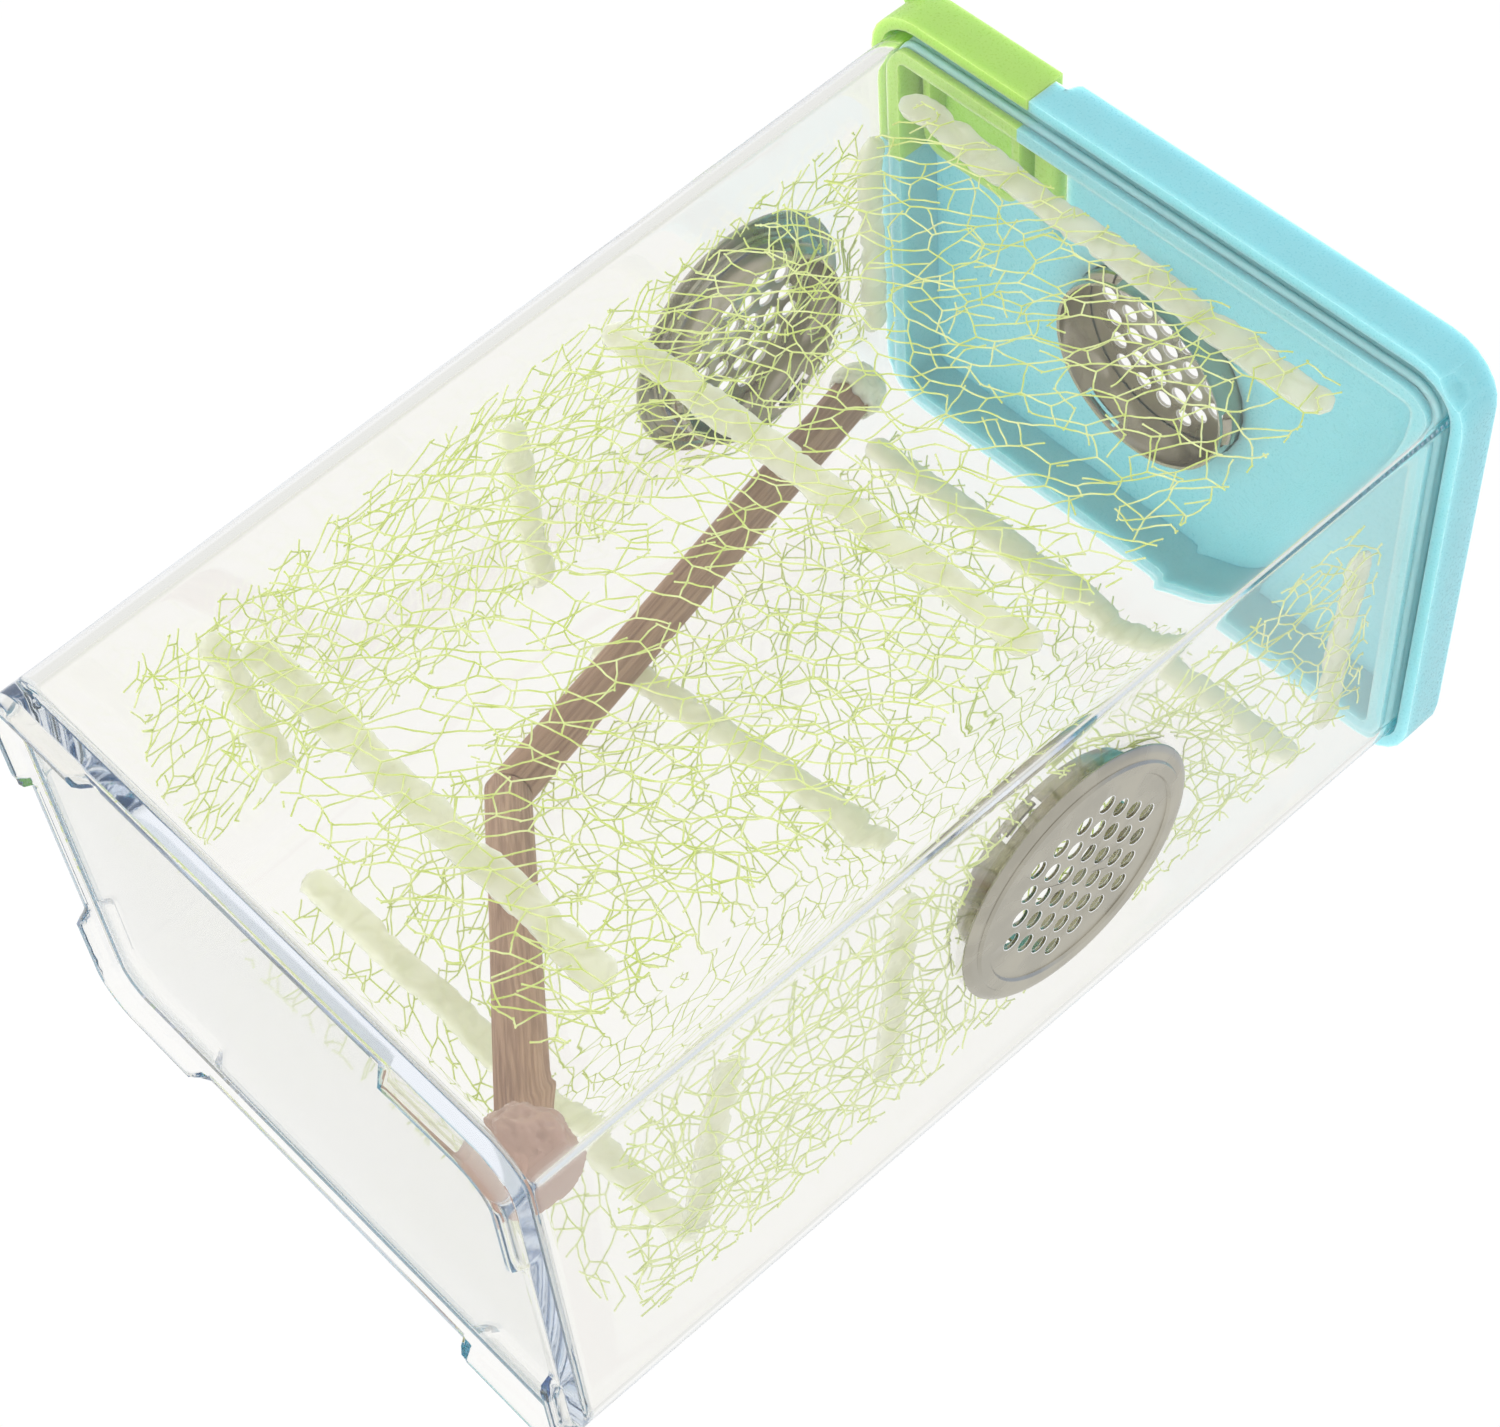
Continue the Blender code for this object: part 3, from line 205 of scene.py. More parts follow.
class Graph:
    """Adds nodes to one tree, all through one method."""

    def __init__(self, tree: bpy.types.NodeTree) -> None:
        """Keep the tree and empty it.

        Args:
            tree: The tree to build in.
        """
        self.tree = tree
        tree.nodes.clear()

    def feed(self, target: bpy.types.NodeSocket, value: Any) -> None:
        """Give an input a value or a link.

        Args:
            target: The input.
            value: A socket, or a value that the input takes.
        """
        if isinstance(value, Socket):
            self.tree.links.new(value.link, target)
        elif target.type == "VECTOR" and isinstance(value, (int, float)):
            target.default_value = (value, value, value)
        elif target.type == "RGBA" and len(value) == 3:
            target.default_value = (*value, 1.0)
        else:
            target.default_value = value

    def node(
        self,
        kind: str,
        settings: dict[str, Any] | None = None,
        values: dict[Any, Any] | None = None,
        output: int | str = 0,
    ) -> Socket:
        """Add a node, set it up, feed it, and give one of its outputs.

        Args:
            kind: The node's type.
            settings: Its properties.
            values: Its inputs by name or number.
            output: Which output to give.

        Returns:
            That output, or the node's first one.
        """
        made = self.tree.nodes.new(kind)
        for name, value in (settings or {}).items():
            setattr(made, name, value)
        for name, value in (values or {}).items():
            self.feed(made.inputs[name], value)
        return Socket(self, made.outputs[output] if made.outputs else None)

    def noise(self, place: Any, scale: float, detail: float = 3.0, seed: float = 0.0) -> Socket:
        """Smooth noise about 0.5 over a place.

        Args:
            place: The place's socket.
            scale: Waves to the metre.
            detail: Finer layers.
            seed: Which noise.

        Returns:
            The noise as a number.
        """
        values = {"Vector": place, "W": seed, "Scale": scale, "Detail": detail}
        return self.node("ShaderNodeTexNoise", {"noise_dimensions": "4D"}, values)

    def blend(self, share: Any, first: Any, second: Any) -> Socket:
        """Mix two colours.

        Args:
            share: How much of the second one.
            first: A colour or socket.
            second: A colour or socket.

        Returns:
            The mixed colour.
        """
        settings = {"data_type": "RGBA"}
        return self.node("ShaderNodeMix", settings, {"Factor": share, 6: first, 7: second}, 2)

    def principled(self, values: dict[str, Any]) -> Socket:
        """Add a principled shader.

        Args:
            values: Its inputs by name.

        Returns:
            The shader.
        """
        return self.node("ShaderNodeBsdfPrincipled", {}, values)

    def bump(self, height: Socket, distance: float, strength: float = 1.0) -> Socket:
        """Turn a height into a bumped normal.

        Args:
            height: The height, 0 to 1.
            distance: What a height of 1 is in metres.
            strength: How much of it shows.

        Returns:
            The normal.
        """
        values = {"Strength": strength, "Distance": distance, "Height": height}
        return self.node("ShaderNodeBump", {}, values)


@dataclass(frozen=True)
class Finish:
    """A material that is built once and shared."""

    name: str

    def surface(self, graph: Graph, place: Socket) -> dict[str, Any]:
        """Give what the output node takes.

        Args:
            graph: The material's graph.
            place: The place on the object.

        Returns:
            Sockets for the output's Surface, and Volume if there is one.
        """
        raise NotImplementedError

    def material(self) -> bpy.types.Material:
        """Build the material, or give the one that is there.

        Returns:
            The material.
        """
        made = bpy.data.materials.get(self.name)
        if made is None:
            made = bpy.data.materials.new(self.name)
            made.use_nodes = True
            graph = Graph(made.node_tree)
            place = graph.node("ShaderNodeTexCoord", output="Object")
            graph.node("ShaderNodeOutputMaterial", {}, self.surface(graph, place))
        return made


@dataclass(frozen=True)
class ClearPlastic(Finish):
    """Clear moulded plastic that lets lamps through and turns blue in its depth."""

    ior: float = 1.5
    roughness: float = 0.02
    tint: Colour = (0.982, 0.975, 0.957)
    shade: Colour = (0.98, 0.98, 0.98)
    depth_colour: Colour = (0.5, 0.69, 1.0)
    depth_density: float = 3.0
    ripple: float = 0.00001

    def surface(self, graph: Graph, place: Socket) -> dict[str, Any]:
        """Glass with faint ripples from the mould.

        Args:
            graph: The material's graph.
            place: The place on the object.

        Returns:
            Sockets for the output's Surface, and Volume if there is one.
        """
        waves = graph.noise(place, 45.0, 1.0)
        plastic = graph.principled(
            {
                "Base Color": self.tint,
                "Roughness": self.roughness,
                "IOR": self.ior,
                "Transmission Weight": 1.0,
                "Normal": graph.bump(waves, self.ripple),
            },
        )
        through = graph.node("ShaderNodeBsdfTransparent", {}, {"Color": self.shade})
        bounced = graph.node("ShaderNodeLightPath", output="Is Diffuse Ray")
        lamps = graph.node("ShaderNodeLightPath", output="Is Shadow Ray")
        both = graph.node("ShaderNodeMixShader", {}, {0: bounced, 1: plastic, 2: through})
        both = graph.node("ShaderNodeMixShader", {}, {0: lamps, 1: both, 2: through})
        values = {"Color": self.depth_colour, "Density": self.depth_density}
        return {"Surface": both, "Volume": graph.node("ShaderNodeVolumeAbsorption", {}, values)}


@dataclass(frozen=True)
class TintedPlastic(Finish):
    """Satin coloured plastic in which light spreads, so that it glows with the light behind it."""

    colour: Colour = (0.3, 0.7, 0.8)
    corner_colour: Colour | None = None
    corner: Flat = (0.0, 0.0)
    corner_top: float = 0.0
    spread: float = 4 * MM
    roughness: float = 0.3

    def tone(self, graph: Graph, place: Socket) -> Socket:
        """The colour, which under the flap's corner is the flap's own.

        Args:
            graph: The material's graph.
            place: The place on the object.

        Returns:
            The colour's socket.
        """
        cloud = graph.noise(place, 60.0, 2.0)
        body = graph.blend(cloud, tuple(part * 0.94 for part in self.colour), self.colour)
        if self.corner_colour is None:
            return body
        left = (place.part("X") * -1.0) > -self.corner[0]
        front = (place.part("Y") * -1.0) > -self.corner[1]
        below = (place.part("Z") * -1.0) > -self.corner_top
        return graph.blend(left * front * below, body, self.corner_colour)

    def surface(self, graph: Graph, place: Socket) -> dict[str, Any]:
        """A satin skin over a body that passes light.

        Args:
            graph: The material's graph.
            place: The place on the object.

        Returns:
            Sockets for the output's Surface, and Volume if there is one.
        """
        grain = graph.noise(place, 2600.0, 2.0)
        skin = graph.principled(
            {
                "Base Color": self.tone(graph, place),
                "Subsurface Weight": 1.0,
                "Subsurface Radius": (1.0, 1.0, 1.0),
                "Subsurface Scale": self.spread,
                "Roughness": grain.ramp(0.3, 0.7, self.roughness - 0.05, self.roughness + 0.08),
                "IOR": 1.49,
                "Normal": graph.bump(grain, 0.00001),
            },
        )
        return {"Surface": skin}


@dataclass(frozen=True)
class Steel(Finish):
    """Pressed stainless sheet, satin, with faint scratches and smudges."""

    colour: Colour = (0.57, 0.54, 0.465)
    roughness: float = 0.27

    def surface(self, graph: Graph, place: Socket) -> dict[str, Any]:
        """Metal whose shine varies.

        Args:
            graph: The material's graph.
            place: The place on the object.

        Returns:
            Sockets for the output's Surface, and Volume if there is one.
        """
        stretched = graph.node("ShaderNodeMapping", {}, {"Vector": place, "Scale": (1.0, 1.0, 14.0)})
        scratches = graph.noise(stretched, 900.0, 4.0)
        smudges = graph.noise(place, 160.0, 3.0, 2.0)
        darker = tuple(part * 0.82 for part in self.colour)
        skin = graph.principled(
            {
                "Base Color": graph.blend(smudges.ramp(0.35, 0.65), darker, self.colour),
                "Metallic": 1.0,
                "Roughness": smudges.ramp(0.3, 0.7, self.roughness - 0.07, self.roughness + 0.1),
                "Normal": graph.bump(scratches, 0.00002, 0.5),
            },
        )
        return {"Surface": skin}


@dataclass(frozen=True)
class NetCord(Finish):
    """Thin lime plastic yarn."""

    colour: Colour = (0.60, 0.70, 0.17)
    pale: Colour = (0.76, 0.82, 0.38)
    roughness: float = 0.4

    def surface(self, graph: Graph, place: Socket) -> dict[str, Any]:
        """Yarn of uneven colour.

        Args:
            graph: The material's graph.
            place: The place on the object.

        Returns:
            Sockets for the output's Surface, and Volume if there is one.
        """
        patches = graph.noise(place, 240.0, 2.0)
        fibres = graph.noise(place, 4200.0, 2.0, 1.0)
        tone = graph.blend(patches.ramp(0.35, 0.65), self.colour, self.pale)
        skin = graph.principled(
            {"Base Color": tone, "Roughness": self.roughness, "Normal": graph.bump(fibres, 0.00003)},
        )
        return {"Surface": skin}


@dataclass(frozen=True)
class Glue(Finish):
    """Set hot glue: milky or brown, lumpy, with a soft shine."""

    colour: Colour = (0.88, 0.88, 0.75)
    cloudy: Colour = (0.80, 0.81, 0.67)
    see_through: float = 0.35
    spread: float = 2 * MM
    roughness: float = 0.28
    folds: float = 0.3 * MM
    # crease is the colour of painted shade along the lump's creases, darker than its body.
    crease: Colour = (0.80, 0.80, 0.66)
    crease_scale: float = 150.0
    crease_width: float = 0.14

    def surface(self, graph: Graph, place: Socket) -> dict[str, Any]:
        """A cloudy body that passes light and some of the view, with painted shade darkening its creases.

        Args:
            graph: The material's graph.
            place: The place on the object.

        Returns:
            Sockets for the output's Surface, and Volume if there is one.
        """
        cloud = graph.noise(place, 130.0, 3.0)
        bent = place + graph.node(
            "ShaderNodeTexNoise", {}, {"Vector": place, "Scale": 260.0, "Detail": 2.0}, "Color"
        ) * 0.004
        edges = graph.node(
            "ShaderNodeTexVoronoi",
            {"feature": "DISTANCE_TO_EDGE"},
            {"Vector": bent, "Scale": self.crease_scale},
            "Distance",
        )
        # fold is 0 on the cells' edges. There the colour turns to the painted crease shade and the bump dips.
        fold = edges.ramp(0.0, self.crease_width)
        lumps = graph.noise(place, 420.0, 2.0, 3.0) * 0.5 + fold * 0.5
        body = graph.blend(cloud.ramp(0.35, 0.65), self.cloudy, self.colour)
        solid = graph.principled(
            {
                # Painted shade: the creases are darkened towards the crease colour.
                "Base Color": graph.blend(fold, self.crease, body),
                "Subsurface Weight": 1.0,
                "Subsurface Radius": (1.0, 1.0, 1.0),
                "Subsurface Scale": self.spread,
                "Roughness": cloud.ramp(0.3, 0.7, self.roughness - 0.08, self.roughness + 0.12),
                "IOR": 1.48,
                "Normal": graph.bump(lumps, self.folds, 0.6),
            },
        )
        clear = graph.node("ShaderNodeBsdfTransparent", {}, {"Color": self.colour})
        return {"Surface": graph.node("ShaderNodeMixShader", {}, {0: self.see_through, 1: solid, 2: clear})}


@dataclass(frozen=True)
class Twig(Finish):
    """Peeled brown wood whose grain runs along the piece's own attribute."""

    light: Colour = (0.47, 0.295, 0.195)
    dark: Colour = (0.25, 0.14, 0.095)
    roughness: float = 0.72

    def surface(self, graph: Graph, place: Socket) -> dict[str, Any]:
        """Fine long grain with darker streaks.

        Args:
            graph: The material's graph.
            place: The place on the object.

        Returns:
            Sockets for the output's Surface, and Volume if there is one.
        """
        grain = graph.node("ShaderNodeAttribute", {"attribute_name": Perch.GRAIN}, output="Vector")
        long = graph.node("ShaderNodeMapping", {}, {"Vector": grain, "Scale": (1.0, 1.0, 0.035)})
        fibres = graph.noise(long, 2600.0, 4.0)
        bands = graph.noise(long, 700.0, 2.0, 5.0)
        patches = graph.noise(grain, 90.0, 3.0, 7.0)
        streaks = fibres.ramp(0.38, 0.62) * 0.55 + bands.ramp(0.35, 0.65) * 0.3 + patches * 0.15
        skin = graph.principled(
            {
                "Base Color": graph.blend(streaks, self.dark, self.light),
                "Roughness": streaks.ramp(0.0, 1.0, self.roughness + 0.1, self.roughness - 0.1),
                "Normal": graph.bump(fibres, 0.0003, 0.7),
            },
        )
        return {"Surface": skin}


@dataclass(frozen=True)
class Rubber(Finish):
    """Soft pale aqua silicone."""

    colour: Colour = (0.42, 0.84, 0.88)

    def surface(self, graph: Graph, place: Socket) -> dict[str, Any]:
        """Matt and a little dusty.

        Args:
            graph: The material's graph.
            place: The place on the object.

        Returns:
            Sockets for the output's Surface, and Volume if there is one.
        """
        dust = graph.noise(place, 500.0, 3.0)
        darker = tuple(part * 0.94 for part in self.colour)
        skin = graph.principled(
            {
                "Base Color": graph.blend(dust, darker, self.colour),
                "Subsurface Weight": 1.0,
                "Subsurface Radius": (1.0, 1.0, 1.0),
                "Subsurface Scale": 3 * MM,
                "Roughness": dust.ramp(0.3, 0.7, 0.45, 0.6),
            },
        )
        return {"Surface": skin}


@dataclass(frozen=True)
class StudioFloor(Finish):
    """A pale floor that can be looked and lit through from below."""

    colour: Colour = (0.52, 0.52, 0.517)

    def surface(self, graph: Graph, place: Socket) -> dict[str, Any]:
        """Matt above, nothing below.

        Args:
            graph: The material's graph.
            place: The place on the object.

        Returns:
            Sockets for the output's Surface, and Volume if there is one.
        """
        cloud = graph.noise(place, 3.0, 2.0)
        darker = tuple(part * 0.985 for part in self.colour)
        tone = graph.blend(cloud, darker, self.colour)
        matt = graph.node("ShaderNodeBsdfDiffuse", {}, {"Color": tone})
        nothing = graph.node("ShaderNodeBsdfTransparent")
        below = graph.node("ShaderNodeNewGeometry", output="Backfacing")
        lamps = graph.node("ShaderNodeLightPath", output="Is Shadow Ray")
        gone = below.largest(lamps)
        return {"Surface": graph.node("ShaderNodeMixShader", {}, {0: gone, 1: matt, 2: nothing})}


CLEAR = ClearPlastic("clear_moulded_plastic")
BLUE = TintedPlastic(
    "blue_lid_plastic",
    colour=from_screen(142, 202, 209),
    corner_colour=from_screen(168, 204, 110),
    corner=(-24.2 * MM, -15.2 * MM),
    corner_top=173.2 * MM,
)
GREEN = TintedPlastic(
    "green_flap_plastic",
    colour=from_screen(166, 203, 104),
)
STEEL = Steel("pressed_steel")
INNER_STEEL = Steel("rolled_steel", colour=(0.52, 0.48, 0.385), roughness=0.18)
NET = NetCord("lime_net_yarn")
MILKY = Glue("milky_glue")
BROWN = Glue(
    "brown_glue",
    colour=from_screen(222, 196, 190),
    cloudy=from_screen(184, 144, 132),
    see_through=0.2,
    spread=0.15 * MM,
    roughness=0.1,
    folds=1.6 * MM,
    # The brown lump's crease colour is painted shade, nearly black-brown, in its folds.
    crease=from_screen(84, 38, 28),
    crease_scale=230.0,
    crease_width=0.3,
)
TWIG = Twig("twig_wood")
RUBBER = Rubber("seal_rubber")
FLOOR = StudioFloor("studio_floor")


def rounded_outline(
    half_x: float, half_y: float, radius: float, arc: int = 16, runs: tuple[int, int] = (1, 1)
) -> list[Flat]:
    """A rounded rectangle, counter-clockwise from the right end of its back right corner.

    Args:
        half_x: Half of its width.
        half_y: Half of its depth.
        radius: Its corners' radius.
        arc: Steps in each corner.
        runs: Steps along a side that runs in X, and in Y.

    Returns:
        Its points.
    """
    points = []
    for quarter, (sign_x, sign_y) in enumerate(((1, 1), (-1, 1), (-1, -1), (1, -1))):
        centre = Vector((sign_x * (half_x - radius), sign_y * (half_y - radius)))
        for step in range(arc + 1):
            angle = math.radians(90 * (quarter + step / arc))
            points.append(tuple(centre + radius * Vector((math.cos(angle), math.sin(angle)))))
        count = runs[quarter % 2]
        turn = math.radians(90 * (quarter + 1))
        way = Vector((-math.sin(turn), math.cos(turn)))
        length = 2 * ((half_x if quarter % 2 == 0 else half_y) - radius)
        start = Vector(points[-1])
        points += [tuple(start + way * length * step / count) for step in range(1, count)]
    return points


def close_mesh(bm: bmesh.types.BMesh, name: str, crease: float = 32.0) -> bpy.types.Mesh:
    """Finish a mesh: faces out, smooth, its sharp edges kept.

    Args:
        bm: The mesh under work. It is freed.
        name: The new mesh's name.
        crease: The angle in degrees past which an edge stays sharp.

    Returns:
        The mesh.
    """
    bmesh.ops.recalc_face_normals(bm, faces=bm.faces)
    mesh = bpy.data.meshes.new(name)
    bm.to_mesh(mesh)
    bm.free()
    soften(mesh, crease)
    return mesh


def soften(mesh: bpy.types.Mesh, crease: float = 32.0) -> None:
    """Shade a mesh smooth, its sharp edges kept.

    Args:
        mesh: The mesh.
        crease: The angle in degrees past which an edge stays sharp.
    """
    mesh.shade_smooth()
    mesh.set_sharp_from_angle(angle=math.radians(crease))
    for face in mesh.polygons:
        if len(face.vertices) > MOST_SMOOTH_CORNERS:
            face.use_smooth = False


def loft(
    name: str, rings: Sequence[Sequence[Sequence[float]]], closed: bool = False, crease: float = 32.0
) -> bpy.types.Mesh:
    """Bridge rings of equal length. Ends are capped, or joined to each other if closed.

    Args:
        name: The mesh's name.
        rings: Rings of points in space.
        closed: Whether the last ring joins the first.
        crease: The angle past which an edge stays sharp.

    Returns:
        The mesh.
    """
    bm = bmesh.new()
    loops = [[bm.verts.new(point) for point in ring] for ring in rings]
    pairs = list(zip(loops, loops[1:]))
    if closed:
        pairs.append((loops[-1], loops[0]))
    for lower, upper in pairs:
        for index in range(len(lower)):
            after = (index + 1) % len(lower)
            bm.faces.new((lower[index], lower[after], upper[after], upper[index]))
    if not closed:
        bm.faces.new(loops[0])
        bm.faces.new(loops[-1])
    return close_mesh(bm, name, crease)


def at_height(outline: Iterable[Flat], height: float) -> list[tuple[float, float, float]]:
    """Lift an outline's points to one height."""
    return [(x, y, height) for x, y in outline]


def turned(name: str, profile: Sequence[Flat], sides: int = 96, crease: float = 32.0) -> bpy.types.Mesh:
    """Spin a closed profile of radius and height about Z. Points at radius 0 are poles.

    Args:
        name: The mesh's name.
        profile: The profile.
        sides: Steps round.
        crease: The angle past which an edge stays sharp.

    Returns:
        The mesh.
    """
    bm = bmesh.new()
    rings = []
    for radius, height in profile:
        if radius == 0.0:
            rings.append([bm.verts.new((0.0, 0.0, height))])
            continue
        turns = (math.tau * side / sides for side in range(sides))
        rings.append([bm.verts.new((radius * math.cos(a), radius * math.sin(a), height)) for a in turns])
    pairs = list(zip(rings, rings[1:]))
    if len(rings[0]) > 1:
        pairs.append((rings[-1], rings[0]))
    for first, second in pairs:
        for side in range(sides):
            after = (side + 1) % sides
            corners = (
                first[side % len(first)],
                first[after % len(first)],
                second[after % len(second)],
                second[side % len(second)],
            )
            bm.faces.new(tuple(dict.fromkeys(corners)))
    return close_mesh(bm, name, crease)


def rod(name: str, radius: float, start: Vector, end: Vector, sides: int = 64) -> bpy.types.Mesh:
    """A cylinder between two points.

    Args:
        name: The mesh's name.
        radius: Its radius.
        start: One end.
        end: The other end.
        sides: Steps round.

    Returns:
        The mesh.
    """
    axis = end - start
    place = Matrix.Translation((start + end) / 2) @ axis.to_track_quat("Z", "Y").to_matrix().to_4x4()
    bm = bmesh.new()
    bmesh.ops.create_cone(
        bm, cap_ends=True, segments=sides, radius1=radius, radius2=radius, depth=axis.length, matrix=place
    )
    return close_mesh(bm, name)


def place_piece(name: str, mesh: bpy.types.Mesh, finish: Finish | None = None) -> bpy.types.Object:
    """Link a mesh as an object at the origin.

    Args:
        name: The piece's name.
        mesh: Its mesh.
        finish: Its finish.

    Returns:
        The object.
    """
    piece = bpy.data.objects.new(name, mesh)
    bpy.context.scene.collection.objects.link(piece)
    if finish is not None:
        mesh.materials.clear()
        mesh.materials.append(finish.material())
    return piece


def freeze(piece: bpy.types.Object) -> None:
    """Turn what a piece's modifiers give into its own mesh, and clear them.

    Args:
        piece: The piece.
    """
    view = bpy.context.evaluated_depsgraph_get()
    mesh = bpy.data.meshes.new_from_object(
        piece.evaluated_get(view), preserve_all_data_layers=True, depsgraph=view
    )
    old = piece.data
    piece.modifiers.clear()
    piece.data = mesh
    bpy.data.meshes.remove(old)


def carve(piece: bpy.types.Object, steps: Sequence[tuple[str, bpy.types.Mesh]], crease: float = 32.0) -> None:
    """Cut, join or intersect a piece with meshes, one after another.

    Args:
        piece: The piece.
        steps: Each operation with the mesh that does it.
        crease: The angle past which an edge stays sharp afterwards.
    """
    tools = []
    for operation, mesh in steps:
        tool = place_piece(f"tool_{mesh.name}", mesh)
        tools.append(tool)
        step = piece.modifiers.new(mesh.name, "BOOLEAN")
        step.operation = operation
        step.solver = "EXACT"
        step.object = tool
    freeze(piece)
    for tool in tools:
        bpy.data.objects.remove(tool)
    soften(piece.data, crease)


def settle(
    piece: bpy.types.Object, body: str, nodes: Sequence[str] = (), finish: Finish | None = None
) -> bpy.types.Object:
    """Put a finished piece on its body and hide what it stands for.

    Args:
        piece: The piece.
        body: The CAD body that it rides on.
        nodes: The CAD nodes that it replaces.
        finish: Its finish, if it has none yet.

    Returns:
        The piece.
    """
    if finish is not None:
        piece.data.materials.clear()
        piece.data.materials.append(finish.material())
    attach(piece, body)
    if nodes:
        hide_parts(*nodes)
    LOG.info("%s: %d faces on %s", piece.name, len(piece.data.polygons), body)
    return piece


@dataclass(frozen=True)
class BoxSizes:
    """The sizes that every piece takes its place from."""

    width: float = 108 * MM
    depth: float = 82 * MM
    base_z: float = 2 * MM
    mouth_z: float = 173 * MM
    draft: float = 2 * MM
    corner: float = 7 * MM
    wall: float = 2 * MM
    floor_recess: float = 1 * MM
    floor: float = 2 * MM
    gap: float = 0.3 * MM
    lid_plate: float = 2.2 * MM
    plug_depth: float = 8 * MM
    right_vent: Flat = (-2.8 * MM, 96.0 * MM)
    left_vent: Flat = (1.5 * MM, 133.7 * MM)
    lid_vent: Flat = (-2.0 * MM, 1.0 * MM)

    @property
    def floor_z(self) -> float:
        """Height of the floor's inside."""
        return self.base_z + self.floor_recess + self.floor

    @property
    def plate_z(self) -> float:
        """Height of the lid plate's underside."""
        return self.mouth_z + self.gap

    @property
    def top_z(self) -> float:
        """Height of the lid's top."""
        return self.plate_z + self.lid_plate

    @property
    def plug_z(self) -> float:
        """Height of the lid plug's lower edge."""
        return self.plate_z - self.plug_depth

    def inset(self, height: float) -> float:
        """How far a wall's outside stands in from the mouth's outline at a height."""
        return self.draft * (self.mouth_z - height) / (self.mouth_z - self.base_z)

    def half(self, side: Side) -> float:
        """Half of a wall's width at the mouth."""
        return (self.width if side in (Side.FRONT, Side.BACK) else self.depth) / 2

    def wall_frame(self, side: Side, along: float, height: float) -> Matrix:
        """A frame on a wall's outside: X sideways, Y up the wall, Z out of it.

        Args:
            side: The wall.
            along: The place in X or Y.
            height: The place in Z.

        Returns:
            The frame.
        """
        out_x, out_y = side.value
        lean = math.atan(self.draft / (self.mouth_z - self.base_z))
        reach = (self.width if out_x else self.depth) / 2 - self.inset(height)
        normal = Vector((out_x * math.cos(lean), out_y * math.cos(lean), -math.sin(lean)))
        up = Vector((out_x * math.sin(lean), out_y * math.sin(lean), math.cos(lean)))
        sideways = up.cross(normal)
        frame = Matrix((sideways, up, normal)).transposed().to_4x4()
        origin = Vector((out_x * reach, out_y * reach, height))
        frame.translation = origin + Vector((abs(out_y), abs(out_x), 0)) * along
        return frame


SIZES = BoxSizes()


